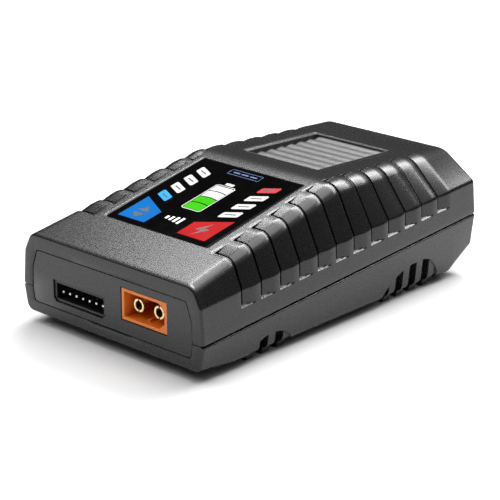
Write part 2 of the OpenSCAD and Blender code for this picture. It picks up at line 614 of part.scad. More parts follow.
module mode_plunger() color("#2a2a2a") panel_frame() mirror([1, 0, 0]) plunger();
module current_plunger() color("#2a2a2a") panel_frame() plunger();
module mode_switch() color("#8d8f92") panel_frame() mirror([1, 0, 0]) switch_body();
module current_switch() color("#8d8f92") panel_frame() switch_body();
module type_light_lit() color("#35aeef") panel_frame() mirror([1, 0, 0]) right_lights(0, 0);
module type_lights() color("#f4f4f2") panel_frame() mirror([1, 0, 0]) right_lights(1, 3);
module current_light_lit() color("#ea2f33") panel_frame() right_lights(3, 3);
module current_lights() color("#f4f4f2") panel_frame() right_lights(0, 2);
module level_lights_lit() color("#55f000") panel_frame() for (k = [0, 1])
    panel_slab(pipe_l, level_outline(k));
module level_lights() color("#f4f4f2") panel_frame() {
    for (k = [2, 3]) panel_slab(pipe_l, level_outline(k));
    panel_slab(2, nub_outline);
}
module display_board() color("#1f5a34") panel_frame() difference() {
    box(-19.5, 19.5, -22.8, 21.8, -display_depth - display_t, -display_depth);
    for (x = [-1, 1], y = display_screw_y) translate([x * display_screw_x, y, -display_depth - 3])
        cylinder(r = 1.1, h = 6);
}
module indicator_leds() color("#f2ecc8") panel_frame() {
    both_sides() for (k = [0:3]) translate([light_x, light_y + k * light_pitch, -display_depth + 0.3])
        cube([1.6, 0.8, 0.6], center = true);
    for (k = [0:3]) translate([0, level_y + level_pitch * (k + 0.45), -display_depth + 0.3])
        cube([1.6, 0.8, 0.6], center = true);
}
module display_screws() color("#9a9a9e") panel_frame() for (x = [-1, 1], y = display_screw_y)
    translate([x * display_screw_x, y, -display_depth - display_t]) small_screw(0.9, 4, 1.8, 1);
ribbon_y = 39.5;
ribbon_x = [-14, -5];
ribbon_low = board_h + 3;
ribbon_top = front_h + (ribbon_y - 1) * tan(slope_a) - (display_depth + display_t + 2.6) / cos(slope_a);
function ribbon_side(t, h) = [ribbon_y + 1.6 * sin(360 * t) + h,
    ribbon_low - 0.6 + t * (ribbon_top - ribbon_low + 1.2)];
module ribbon_cable() color("#d9d6c6") from_front() along_x(ribbon_x[0], ribbon_x[1])
    polygon(concat([for (i = [0:16]) ribbon_side(i / 16, -0.15)],
        [for (i = [16:-1:0]) ribbon_side(i / 16, 0.15)]));
module ribbon_sockets() color("#ece8da") from_front() difference() {
    union() {
        box(ribbon_x[0] - 1.5, ribbon_x[1] + 1.5, ribbon_y - 1.4, ribbon_y + 1.4, board_h, ribbon_low);
        intersection() {
            box(ribbon_x[0] - 1.5, ribbon_x[1] + 1.5, ribbon_y - 1.4, ribbon_y + 1.4, ribbon_top,
                ribbon_top + 6);
            translate([0, 0, front_h]) rotate([slope_a, 0, 0])
                box(-30, 30, 0, 80, -30, -display_depth - display_t);
        }
    }
    box(ribbon_x[0] - 0.05, ribbon_x[1] + 0.05, ribbon_y - 0.75, ribbon_y + 0.75, ribbon_low - 0.7,
        ribbon_top + 0.7);
}

// ---------- main board and its parts ----------
board_w = body_w - 8.8;
board_y0 = 4.6;
board_y1 = body_l - 7;
module main_board() color("#1d6a3c") from_front() difference() {
    box(-board_w / 2, board_w / 2, board_y0, board_y1, board_h - board_t, board_h);
    for (x = [-1, 1], y = [boss_front_y, boss_rear_y]) translate([x * boss_x, y, 0])
        cylinder(r = boss_r + 0.3, h = 20);
    for (p = board_posts) translate([p.x, p.y, 0]) cylinder(r = board_screw_d / 2 + 0.2, h = 20);
    for (i = [0:balance_cells]) translate([balance_x + (i - balance_cells / 2) * 2.5, 11.68, 0])
        cylinder(r = 0.5, h = 20);
    for (x = [-1, 1]) {
        translate([output_x + x * output_pin_gap / 2, 17.7, 0]) cylinder(r = 1.7, h = 20);
        translate([inlet_x + x * inlet_pin_gap / 2, body_l - 15.1 - inlet_pin_d / 2, 0])
            cylinder(r = 0.75, h = 20);
    }
    for (y = transistor_y, d = transistor_legs) translate([heat_x + 2.9, y + d, 0])
        cylinder(r = 0.6, h = 20);
}
module board_screws() color("#9a9a9e") from_front() for (p = board_posts)
    translate([p.x, p.y, board_h]) mirror([0, 0, 1]) small_screw(board_screw_d / 2, 4, 1.9, 1.2);
module case_screws() color("#3a3a3c") from_front() for (x = [-1, 1]) {
    translate([x * boss_x, boss_front_y, ground_gap + head_depth])
        small_screw(case_screw_d / 2, post_bottom_front - ground_gap + 5, screw_head_r, screw_head_h);
    translate([x * boss_x, boss_rear_y, ground_gap + head_depth])
        small_screw(case_screw_d / 2, post_bottom_rear - ground_gap + 5, screw_head_r, screw_head_h);
}
module insulation_sheet() color("#d8d8d2") from_front() difference() {
    box(-24.5, 24.5, 42, heel_y - 2, ground_gap + wall, ground_gap + wall + 0.4);
    for (p = board_posts) translate([p.x, p.y, 0]) cylinder(r = 3, h = 20);
    for (x = [-1, 1]) translate([x * boss_x, boss_rear_y, 0]) cylinder(r = boss_r + 0.4, h = 20);
}

fuse_y = body_l - 18;
fuse_x = [-20.5, -3.5];
fuse_z = board_h + 3.1;
module lying(x0, x1, y, z, r) translate([x0, y, z]) rotate([0, 90, 0]) cylinder(r = r, h = x1 - x0);
module fuse_tube() color("#e9ecee") from_front() difference() {
    lying(fuse_x[0] + 4, fuse_x[1] - 4, fuse_y, fuse_z, 2.4);
    lying(fuse_x[0], fuse_x[1], fuse_y, fuse_z, 1.8);
}
module fuse_caps() color("#c9c9c4") from_front() for (e = [0, 1])
    translate([fuse_x[e], 0, 0]) mirror([e, 0, 0]) difference() {
        union() {
            lying(0, 4, fuse_y, fuse_z, 2.4);
            lying(0, 3.6, fuse_y, fuse_z, 2.6);
            box(1.2, 2.4, fuse_y - 1, fuse_y + 1, board_h, fuse_z);
        }
        lying(1, 5, fuse_y, fuse_z, 1.8);
    }
module filter_capacitor() color("#e2b93a") from_front() translate([-20, ridge_y + 4, board_h])
    cube([13, 6.5, 12]);
// ring core with its windings as two wound sectors
choke_at = [-11.5, body_l - 32.5];
inductor_at = [12.4, 34];
module ring_core(r0, r1, h) rotate_extrude() translate([r0, 0]) square([r1 - r0, h]);
module ring_winding(r0, r1, h, t, sector) for (w = [0, 180]) rotate([0, 0, w + 90 - sector / 2])
    rotate_extrude(angle = sector) difference() {
        translate([r0 - t, -t]) square([r1 - r0 + 2 * t, h + 2 * t]);
        translate([r0, 0]) square([r1 - r0, h]);
    }
module choke_place() from_front() translate([choke_at.x, choke_at.y, board_h + 1.4]) children();
module inductor_place() from_front() translate([inductor_at.x, inductor_at.y, board_h + 1.3]) children();
module choke_core() color("#33383c") choke_place() ring_core(3.6, 7, 6);
module choke_winding() color("#b5652c") choke_place() ring_winding(3.6, 7, 6, 1.1, 130);
module inductor_core() color("#5b6a3a") inductor_place() ring_core(3.8, 7.2, 6.4);
module inductor_winding() color("#b5652c") inductor_place()
    rotate([0, 0, 90]) ring_winding(3.8, 7.2, 6.4, 1.1, 150);
module bridge_rectifier() color("#202022") from_front() translate([-3.2, body_l - 26, board_h]) {
    cube([10, 6.6, 2.6]);
    for (x = [1.2, 8], y = [-1.4, 5.9]) translate([x - 0.6, y, 0]) cube([1.2, 2.1, 1]);
}
bulk_r = 7.4;
bulk_x = 19.2;
module bulk_capacitor() color("#1b1f2a") from_front() translate([bulk_x, ridge_y + 8, board_h + bulk_r + 0.1])
    rotate([-90, 0, 0]) difference() {
        rotate_extrude() polygon([[0, 0], [bulk_r - 0.8, 0], [bulk_r, 0.8], [bulk_r, 1.6],
            [bulk_r - 0.5, 2.2], [bulk_r, 2.8], [bulk_r, 22], [bulk_r - 0.6, 22.6], [0, 22.6]]);
        for (w = [0, 60, 120]) rotate([0, 0, w]) box(-4.5, 4.5, -0.15, 0.15, 22.3, 24);
    }
trafo_y = 51.5;
trafo_z = board_h + 1;
trafo_top = 25.7;                 // just below the display board
trafo_h = trafo_top - trafo_z;
module transformer_core() color("#3c3d40") from_front() translate([0, trafo_y, trafo_z]) difference() {
    box(-13, 13, -4, 4, 0, trafo_h);
    for (x = [-1, 1]) translate([x * 6.5, 0, trafo_h / 2]) cube([6, 10, trafo_h - 6], center = true);
}
module transformer_bobbin() color("#26282c") from_front() translate([0, trafo_y, trafo_z]) difference() {
    union() {
        box(-4.4, 4.4, -5, 5, 3.1, trafo_h - 3.1);
        for (z = [3.1, trafo_h - 4.1]) box(-9.4, 9.4, -8.6, 8.6, z, z + 1);
        for (y = [-1, 1]) translate([0, y * 6.4, 1.1]) cube([18, 4.4, 4.2], center = true);
    }
    box(-3.5, 3.5, -4, 4, -2, trafo_h + 1);
    box(-14, 14, -4, 4, -2, 3);
}
module transformer_winding() color("#d9a520") from_front() translate([0, trafo_y, trafo_z]) difference() {
    box(-8.8, 8.8, -8, 8, 4.1, trafo_h - 4.1);
    box(-4.4, 4.4, -5, 5, 0, trafo_h);
}
heat_x = wall - 23;               // its fins stay clear of the shell
heat_y = [27, 56];
heat_z = [board_h + 0.6, 24.6];
fin_n = 6;
transistor_y = [34, 48];
transistor_z = board_h + 0.8;
transistor_h = heat_z[1] - transistor_z - 0.5;
transistor_hole = transistor_h - 2.8;
transistor_legs = [-2.54, 0, 2.54];
module heat_sink() color("#a9adb2") from_front() difference() {
    union() {
        box(heat_x - 2, heat_x, heat_y[0], heat_y[1], heat_z[0], heat_z[1]);
        for (i = [0:fin_n - 1]) translate([0, 0, heat_z[0] + i * (heat_z[1] - heat_z[0] - 1) / (fin_n - 1)])
            box(heat_x - 6, heat_x - 1.9, heat_y[0], heat_y[1], 0, 1);
    }
    for (y = transistor_y) lying(heat_x - 7, heat_x + 1, y, transistor_z + transistor_hole, 1.2 + screw_gap);
}
module power_transistors() color("#1d1d1f") from_front() for (y = transistor_y)
    translate([heat_x, y, transistor_z]) difference() {
        union() {
            box(0, 1.3, -5, 5, 0.2, transistor_h);
            box(1.2, 4.6, -5, 5, 0, 9);
            for (d = transistor_legs) box(2.5, 3.3, d - 0.4, d + 0.4,
                -transistor_z + board_h - board_t - 0.8, 0.1);
        }
        translate([-1, 0, transistor_hole]) rotate([0, 90, 0]) cylinder(r = 1.7, h = 4);
    }
module transistor_screws() color("#9a9a9e") from_front() for (y = transistor_y)
    translate([heat_x + 1.3, y, transistor_z + transistor_hole]) rotate([0, -90, 0])
        small_screw(1.2, 5, 2.3, 1.4);
capacitor_at = [[-7, 24], [2, 23], [-7, 33]];
module output_capacitors() color("#22262e") from_front() for (p = capacitor_at)
    translate([p.x, p.y, board_h]) difference() {
        rotate_extrude() polygon([[0, 0], [4, 0], [4, 1.2], [3.6, 1.6], [4, 2], [4, 11],
            [3.6, 11.4], [0, 11.4]]);
        for (w = [0, 90]) rotate([0, 0, w]) box(-2.6, 2.6, -0.1, 0.1, 11.2, 12);
    }
module microcontroller() color("#18181a") from_front() translate([-16.5, 18.5, board_h]) {
    box(-3.5, 3.5, -3.5, 3.5, 0.1, 1.5);
    for (w = [0:90:270], i = [-3:3]) rotate([0, 0, w]) box(3.4, 4.7, i - 0.15, i + 0.15, 0, 0.4);
}
chip_at = [[24, 29], [24, 36], [24, 43], [17, 44.5]];
module driver_chips() color("#18181a") from_front() for (p = chip_at) translate([p.x, p.y, board_h]) {
    box(-2, 2, -2.5, 2.5, 0.1, 1.6);
    for (x = [-1, 1], i = [-1.5:1:1.5]) translate([x * 2.5, i * 1.27, 0.15])
        cube([1.2, 0.4, 0.3], center = true);
}

upper_shell();
lower_shell();
front_plate();
rear_plate();
vent_grille();
display_overlay();
mode_button();
current_button();
mode_plunger();
current_plunger();
mode_switch();
current_switch();
type_light_lit();
type_lights();
current_light_lit();
current_lights();
level_lights_lit();
level_lights();
display_board();
indicator_leds();
display_screws();
ribbon_cable();
ribbon_sockets();
main_board();
board_screws();
balance_housing();
balance_pins();
output_housing();
output_pins();
inlet_housing();
inlet_pins();
fuse_tube();
fuse_caps();
filter_capacitor();
choke_core();
choke_winding();
bridge_rectifier();
bulk_capacitor();
transformer_core();
transformer_bobbin();
transformer_winding();
heat_sink();
power_transistors();
transistor_screws();
output_capacitors();
inductor_core();
inductor_winding();
microcontroller();
driver_chips();
fan_frame();
fan_rotor();
fan_shaft();
fan_bearing();
fan_stator();
fan_screws();
fan_lead();
fan_connector();
case_screws();
insulation_sheet();
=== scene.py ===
import json
import math
import bmesh
import bpy
import numpy as np
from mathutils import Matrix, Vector

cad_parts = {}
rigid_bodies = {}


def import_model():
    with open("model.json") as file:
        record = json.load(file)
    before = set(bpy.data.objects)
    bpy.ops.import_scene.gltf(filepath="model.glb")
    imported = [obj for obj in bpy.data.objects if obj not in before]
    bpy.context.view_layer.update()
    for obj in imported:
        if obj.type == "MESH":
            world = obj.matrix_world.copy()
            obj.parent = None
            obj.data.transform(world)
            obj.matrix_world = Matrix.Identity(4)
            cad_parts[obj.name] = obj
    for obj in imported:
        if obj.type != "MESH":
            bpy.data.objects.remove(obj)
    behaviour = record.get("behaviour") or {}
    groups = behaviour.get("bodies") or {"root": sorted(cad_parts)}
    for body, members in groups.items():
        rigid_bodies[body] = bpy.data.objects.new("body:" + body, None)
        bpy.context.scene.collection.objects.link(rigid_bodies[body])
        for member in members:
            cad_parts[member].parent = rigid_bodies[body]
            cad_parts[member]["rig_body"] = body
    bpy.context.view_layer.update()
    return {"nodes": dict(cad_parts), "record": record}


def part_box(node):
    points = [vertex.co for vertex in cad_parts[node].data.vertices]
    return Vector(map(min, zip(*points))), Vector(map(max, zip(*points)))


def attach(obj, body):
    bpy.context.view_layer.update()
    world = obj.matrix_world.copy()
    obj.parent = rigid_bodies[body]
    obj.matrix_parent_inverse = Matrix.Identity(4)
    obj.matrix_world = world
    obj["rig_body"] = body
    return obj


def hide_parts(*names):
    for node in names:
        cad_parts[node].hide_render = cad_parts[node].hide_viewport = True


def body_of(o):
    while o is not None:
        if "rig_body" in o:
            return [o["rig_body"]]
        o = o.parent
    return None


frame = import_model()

mm = 0.001


# meshes
def makePiece(name, verts, faces, body="case", bevel=0.0, thick=0.0, sharp=32, painted_shade=None):
    # verts are in mm in the frame; the piece's object stays at the origin
    mesh = bpy.data.meshes.new(name)
    corners = faces.tolist() if isinstance(faces, np.ndarray) else faces
    mesh.from_pydata((np.asarray(verts, float) * mm).tolist(), [], corners)
    mesh.update()
    # a value per vertex for how dark the shade in the grooves is painted
    if painted_shade is not None:
        values = mesh.attributes.new("painted_shade", "FLOAT", "POINT").data
        values.foreach_set("value", np.ravel(painted_shade).astype(np.float32))
    piece = bpy.data.objects.new(name, mesh)
    bpy.context.scene.collection.objects.link(piece)
    if thick:
        wall = piece.modifiers.new("wall", "SOLIDIFY")
        wall.thickness, wall.offset = thick * mm, -1
    dress(piece, bevel, sharp)
    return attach(piece, body)


def dress(piece, bevel, sharp=32):
    # rounded edges, then smooth shading between all but the sharp ones
    if bevel:
        edge = piece.modifiers.new("edge", "BEVEL")
        edge.width, edge.segments, edge.limit_method = bevel * mm, 2, "ANGLE"
        edge.angle_limit = math.radians(sharp)
    mesh = piece.data
    mesh.shade_smooth()
    mesh.set_sharp_from_angle(angle=math.radians(sharp))


def roundedCopy(node, width):
    # a CAD node's triangles merged to whole faces, then its edges rounded by width mm
    source = frame["nodes"][node]
    mesh = source.data.copy()
    mesh.name = node + "_rounded"
    work = bmesh.new()
    work.from_mesh(mesh)
    bmesh.ops.remove_doubles(work, verts=work.verts, dist=0.001 * mm)
    bmesh.ops.dissolve_limit(work, angle_limit=math.radians(0.5), verts=work.verts, edges=work.edges)
    work.to_mesh(mesh)
    work.free()
    piece = bpy.data.objects.new(node + "_rounded", mesh)
    bpy.context.scene.collection.objects.link(piece)
    dress(piece, width)
    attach(piece, body_of(source)[0])
    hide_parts(node)
    return piece


def gridFaces(rows, columns, keep=None, closed=False):
    # quads between neighbouring rows and columns, less those where keep is False
    i, j = np.meshgrid(np.arange(rows - 1), np.arange(columns - (0 if closed else 1)), indexing="ij")
    k = (j + 1) % columns
    quads = np.stack([i * columns + j, (i + 1) * columns + j, (i + 1) * columns + k, i * columns + k], -1)
    return quads[keep] if keep is not None else quads.reshape(-1, 4)


def arc(a, b, c, r, w):
    # points at share w along the arc of radius r that rounds corner b between a and c
    u = (a - b) / np.linalg.norm(a - b, axis=-1, keepdims=True)
    v = (c - b) / np.linalg.norm(c - b, axis=-1, keepdims=True)
    half = np.arccos(np.clip((u * v).sum(-1, keepdims=True), -1, 1)) / 2
    middle = b + (u + v) / np.linalg.norm(u + v, axis=-1, keepdims=True) * r / np.sin(half)
    start, end = b + u * r / np.tan(half) - middle, b + v * r / np.tan(half) - middle
    turn = np.pi - 2 * half
    return middle + (np.sin((1 - w) * turn) * start + np.sin(w * turn) * end) / np.sin(turn)


def joined(parts):
    # one vertex list and one face list from several
    verts, faces, base = [], [], 0
    for v, f in parts:
        verts.append(np.asarray(v, float))
        faces += [[int(i) + base for i in face] for face in f]
        base += len(v)
    return np.concatenate(verts), faces


def prism(outline, y0, y1):
    # an outline in x and z, counter-clockwise as seen from the front, carried along y
    n = len(outline)
    o = np.asarray(outline, float)
    verts = np.concatenate([np.column_stack([o[:, 0], np.full(n, y), o[:, 1]]) for y in (y0, y1)])
    sides = [[j, n + j, n + (j + 1) % n, (j + 1) % n] for j in range(n)]
    return verts, [list(range(n)), list(range(2 * n - 1, n - 1, -1))] + sides


# the case's lines, in mm, with y counted from the front
low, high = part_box("upper_shell")
law = {
    "halfWidth": high.x / mm,
    "length": (high.y - low.y) / mm,
    "front": -low.y / mm,        # front face's distance in front of the origin
    "frontHeight": 24.9,
    "ridgeHeight": high.z / mm,
    "rearHeight": 34.2,
    "ridgeAt": 57.5,
    "ridgeSoftness": 0.22,
    "splitFront": 10.2,
    "splitRear": 17.4,
    "splitGap": 0.42,
    "creaseRise": 9.6,
    "creaseIn": 0.8,
    "shoulderFrontIn": 3.4,
    "shoulderRearIn": 11.6,
    "groundGap": 1.7,
    "noseHeight": 3.1,
    "noseAt": 12.0,
    "heelHeight": 7.2,
    "heelRun": 9.5,
    "sideIn": 1.2,
    "partingRadius": 0.35,
}
# the ends of both shells: outer roundings, wall, and how far the wall turns in behind the plate
ends = {"frontRadius": 0.7, "rearRadius": 1.1, "wall": 1.1, "turnIn": 2.3}
# the end plates' outline: how far inside the case's lines it runs, its corners' radii, the gap
# round it, and the small rounding of the opening's edge
plate = {"bottom": 3.1, "side": 3.8, "crease": 4.0, "shoulder": 2.4, "top": 4.1, "radii": [1.2, 0, 1.5, 1],
         "gap": 0.04, "lipRound": 0.25, "lipHalf": 0.08, "lipHalfDepth": 0.07}


def splitZ(y):
    # the parting line rises evenly from front to rear
    return law["splitFront"] + (law["splitRear"] - law["splitFront"]) * y / law["length"]


def topZ(y):
    # the sloped top and the rear top, blended over a soft bend at the ridge
    rise = (law["ridgeHeight"] - law["frontHeight"]) / law["ridgeAt"]
    fall = (law["ridgeHeight"] - law["rearHeight"]) / (law["length"] - law["ridgeAt"])
    a = law["frontHeight"] + rise * y
    b = law["ridgeHeight"] - fall * (y - law["ridgeAt"])
    k = law["ridgeSoftness"]
    return np.minimum(a, b) - k * np.log1p(np.exp(-np.abs(a - b) / k))


def creaseZ(y):
    # the crease keeps its distance from the parting line and stays below the top
    return np.minimum(splitZ(y) + law["creaseRise"], topZ(y) - 4)


def shoulderX(y):
    # the top narrows evenly towards the rear
    inward = law["shoulderRearIn"] - law["shoulderFrontIn"]
    return law["halfWidth"] - law["shoulderFrontIn"] - inward * y / law["length"]


def bellyZ(y):
    # flat underneath, sloping up at the nose and more steeply at the heel
    heelAt = law["length"] - law["heelRun"]
    nose = (law["noseHeight"] - law["groundGap"]) * np.clip(1 - y / law["noseAt"], 0, None)
    heel = (law["heelHeight"] - law["groundGap"]) * np.clip((y - heelAt) / law["heelRun"], 0, None)
    return law["groundGap"] + nose + heel


def plateRadius(y, angles, middleZ):
    # distance from the middle to the end plate's outline in each direction
    hw, e = law["halfWidth"], plate
    half = np.array([[hw - law["sideIn"] - e["bottom"], bellyZ(y) + e["bottom"]], [hw - e["side"], splitZ(y)],
                     [hw - e["crease"], creaseZ(y) - e["crease"]],
                     [shoulderX(y) - e["shoulder"], topZ(y) - e["top"]]])
    share = np.linspace(0, 1, 9)[:, None]
    before = np.vstack([[[0, half[0, 1]]], half[:-1]])
    after = np.vstack([half[1:], [[0, half[-1, 1]]]])
    points = [[[0, half[0, 1]]]]
    for a, b, c, r in zip(before, half, after, e["radii"]):
        points.append(arc(a[None], b[None], c[None], r, share) if r else b[None])
    points.append([[0, half[-1, 1]]])
    line = np.vstack(points)
    t = np.linspace(0, len(line) - 1, 4000)
    x = np.interp(t, np.arange(len(line)), line[:, 0])
    z = np.interp(t, np.arange(len(line)), line[:, 1]) - middleZ
    return np.interp(angles, np.arctan2(z, x), np.hypot(x, z)) + e["gap"]


def endRows(section, normal, y, out, r):
    # from inside the plate's opening, over the rim's face, round the case's outer edge of radius r
    middle = np.array([0, splitZ(y)])
    turn = np.radians([0, 12, 26, 42, 58, 74, 90])
    rounded = [section - normal * (r * (1 - math.sin(a))) for a in turn]
    roundedY = [y + out * (r * math.cos(a) - r) for a in turn]
    outer = rounded[0]
    side = np.where(outer[:, 0] < 0, -1, 1)
    angle = np.arctan2(outer[:, 1] - middle[1], np.abs(outer[:, 0]))
    ray = np.column_stack([side * np.cos(angle), np.sin(angle)])
    rim = plateRadius(y, angle, middle[1])
    inner = middle + rim[:, None] * ray
    halfway = middle + (rim + plate["lipHalf"])[:, None] * ray
    edge = middle + (rim + plate["lipRound"])[:, None] * ray
    rows = [(inner, y - out * ends["turnIn"]), (inner, y - out * 1.0), (inner, y - out * plate["lipRound"]),
            (halfway, y - out * plate["lipHalfDepth"]), (edge, y), (edge * 0.5 + outer * 0.5, y), (outer, y)]
    return rows + list(zip(rounded[1:], roundedY[1:]))


def shell(name, sectionAt, rows, holes):
    # sectionAt gives x, y and z, and how much painted shade each point takes in the grooves, on a grid; both
    # ends turn in to the plates
    base, groove = sectionAt(rows)
    front, rear = base[0], base[-1]
    stack = []
    for end, y, out, r in ((front, 0.0, -1, ends["frontRadius"]), (rear, law["length"], 1, ends["rearRadius"])):
        flat = end[:, [0, 2]]
        along = np.gradient(flat, axis=0)
        normal = np.column_stack([along[:, 1], -along[:, 0]])
        normal /= np.linalg.norm(normal, axis=1, keepdims=True)
        # the parting edge moves straight in with the side it belongs to
        normal[:5], normal[-5:] = normal[5], normal[-6]
        extra = endRows(flat, normal, y, out, r)
        stack.append(np.array([np.column_stack([p[:, 0], np.full(len(p), at), p[:, 1]]) for p, at in extra]))
    grid = np.concatenate([stack[0], base, stack[1][::-1]])
    # painted shade: none on the end rows, the grooves' painted shade along the rest
    painted_shade = np.zeros(grid.shape[:2])
    painted_shade[len(stack[0]):len(stack[0]) + len(base)] = groove
    n, m = grid.shape[:2]
    c = (grid[:-1, :-1] + grid[1:, :-1] + grid[1:, 1:] + grid[:-1, 1:]) / 4
    keep = np.ones((n - 1, m - 1), bool)
    for x0, x1, y0, y1 in holes:
        keep &= ~((c[..., 0] > x0) & (c[..., 0] < x1) & (c[..., 1] > y0) & (c[..., 1] < y1))
    grid[..., 1] -= law["front"]
    return makePiece(name, grid.reshape(-1, 3), gridFaces(n, m, keep), thick=ends["wall"], painted_shade=painted_shade)


# upper shell
ribs = {
    "count": 12,
    "first": 13.9,
    "pitch": 7.15,
    "depth": 0.85,
    "groove": 0.5,         # extra depth of the groove behind each rib's edge
    "grooveWidth": 1.2,
    "ramp": 5.3,
    "slant": 1.15,         # how much further back the top of an edge lies than its foot
    "footRise": 5.0,       # lower end of the ribs above the parting line
    "lip": 0.1,            # how far a rib's rear edge is rounded down, and over what length
    "lipLength": 0.3,
    "endFade": (3, 8),     # the slant dies out this near the ends, over this length
}
# the shoulder's radius and how far in the ribs end on top: each at the front, and its gain per mm;
# the crease's radius: at the front, and its loss over the whole length
bends = {"shoulder": (3.5, 0.032), "crease": (2.6, 1.1), "tick": (9.9, 0.052), "tickMost": 12.5,
         "tickStep": 0.16, "tickClear": 0.5}
panel = {"halfWidth": 17.9, "start": 16.6, "length": 37.7, "gap": 0.06}
vent = {"halfWidth": 13.1, "start": 7.0, "length": 30.1}
slope = math.atan2(law["ridgeHeight"] - law["frontHeight"], law["ridgeAt"])
rearFall = math.atan2(law["ridgeHeight"] - law["rearHeight"], law["length"] - law["ridgeAt"])
panelY = [(panel["start"] - panel["gap"]) * math.cos(slope),
          (panel["start"] + panel["length"] + panel["gap"]) * math.cos(slope)]
ventY = [law["ridgeAt"] + v * math.cos(rearFall) for v in (vent["start"], vent["start"] + vent["length"])]


def ribDepth(t, i):
    # a rounded lip, a narrow groove, then a recess that runs out towards the next rib
    r = ribs
    lip = r["lip"] * np.clip((t - r["pitch"] + r["lipLength"]) / r["lipLength"], 0, 1) ** 2
    lip = lip * (i >= -1) * (i < r["count"] - 1)
    inGroove = (t > 0.015) & (t < r["grooveWidth"])
    share = np.clip((r["ramp"] - t) / (r["ramp"] - r["grooveWidth"]), 0, 1)
    recess = r["depth"] * share ** 1.15 * (t > 0.015)
    body = (recess + r["groove"] * inGroove) * (i >= 0) * (i < r["count"])
    # where a groove's shade is painted near black: from just behind the edge to a little past the groove
    dark = (t > 0.01) & (t < r["grooveWidth"] + 0.1) & (i >= 0) & (i < r["count"])
    return np.maximum(lip, body), dark.astype(float)


def columnsOf(parts):
    # (kind, share) for each column, from (kind, list of shares)
    return [(kind, s) for kind, shares in parts for s in shares]


upperColumns = columnsOf([
    ("lip", np.linspace(0, 1, 4)), ("side", [0.25, 0.5, 0.75, 0.94, 1]), ("ledge", [1]),
    ("wall", np.linspace(0.1, 0.95, 7)), ("crease", np.linspace(0, 1, 7)),
    ("chamfer", np.linspace(0.08, 0.92, 9)), ("shoulder", np.linspace(0, 1, 15)),
    ("top", [0.3, 0.6, 0.85, 1]), ("tick", [0.5, 1]),
    ("deck", [0.35, 0.7, 1]), ("panelEdge", [0.02, 0.5, 1]), ("middle", [0.02, 0.35, 0.7, 1])])


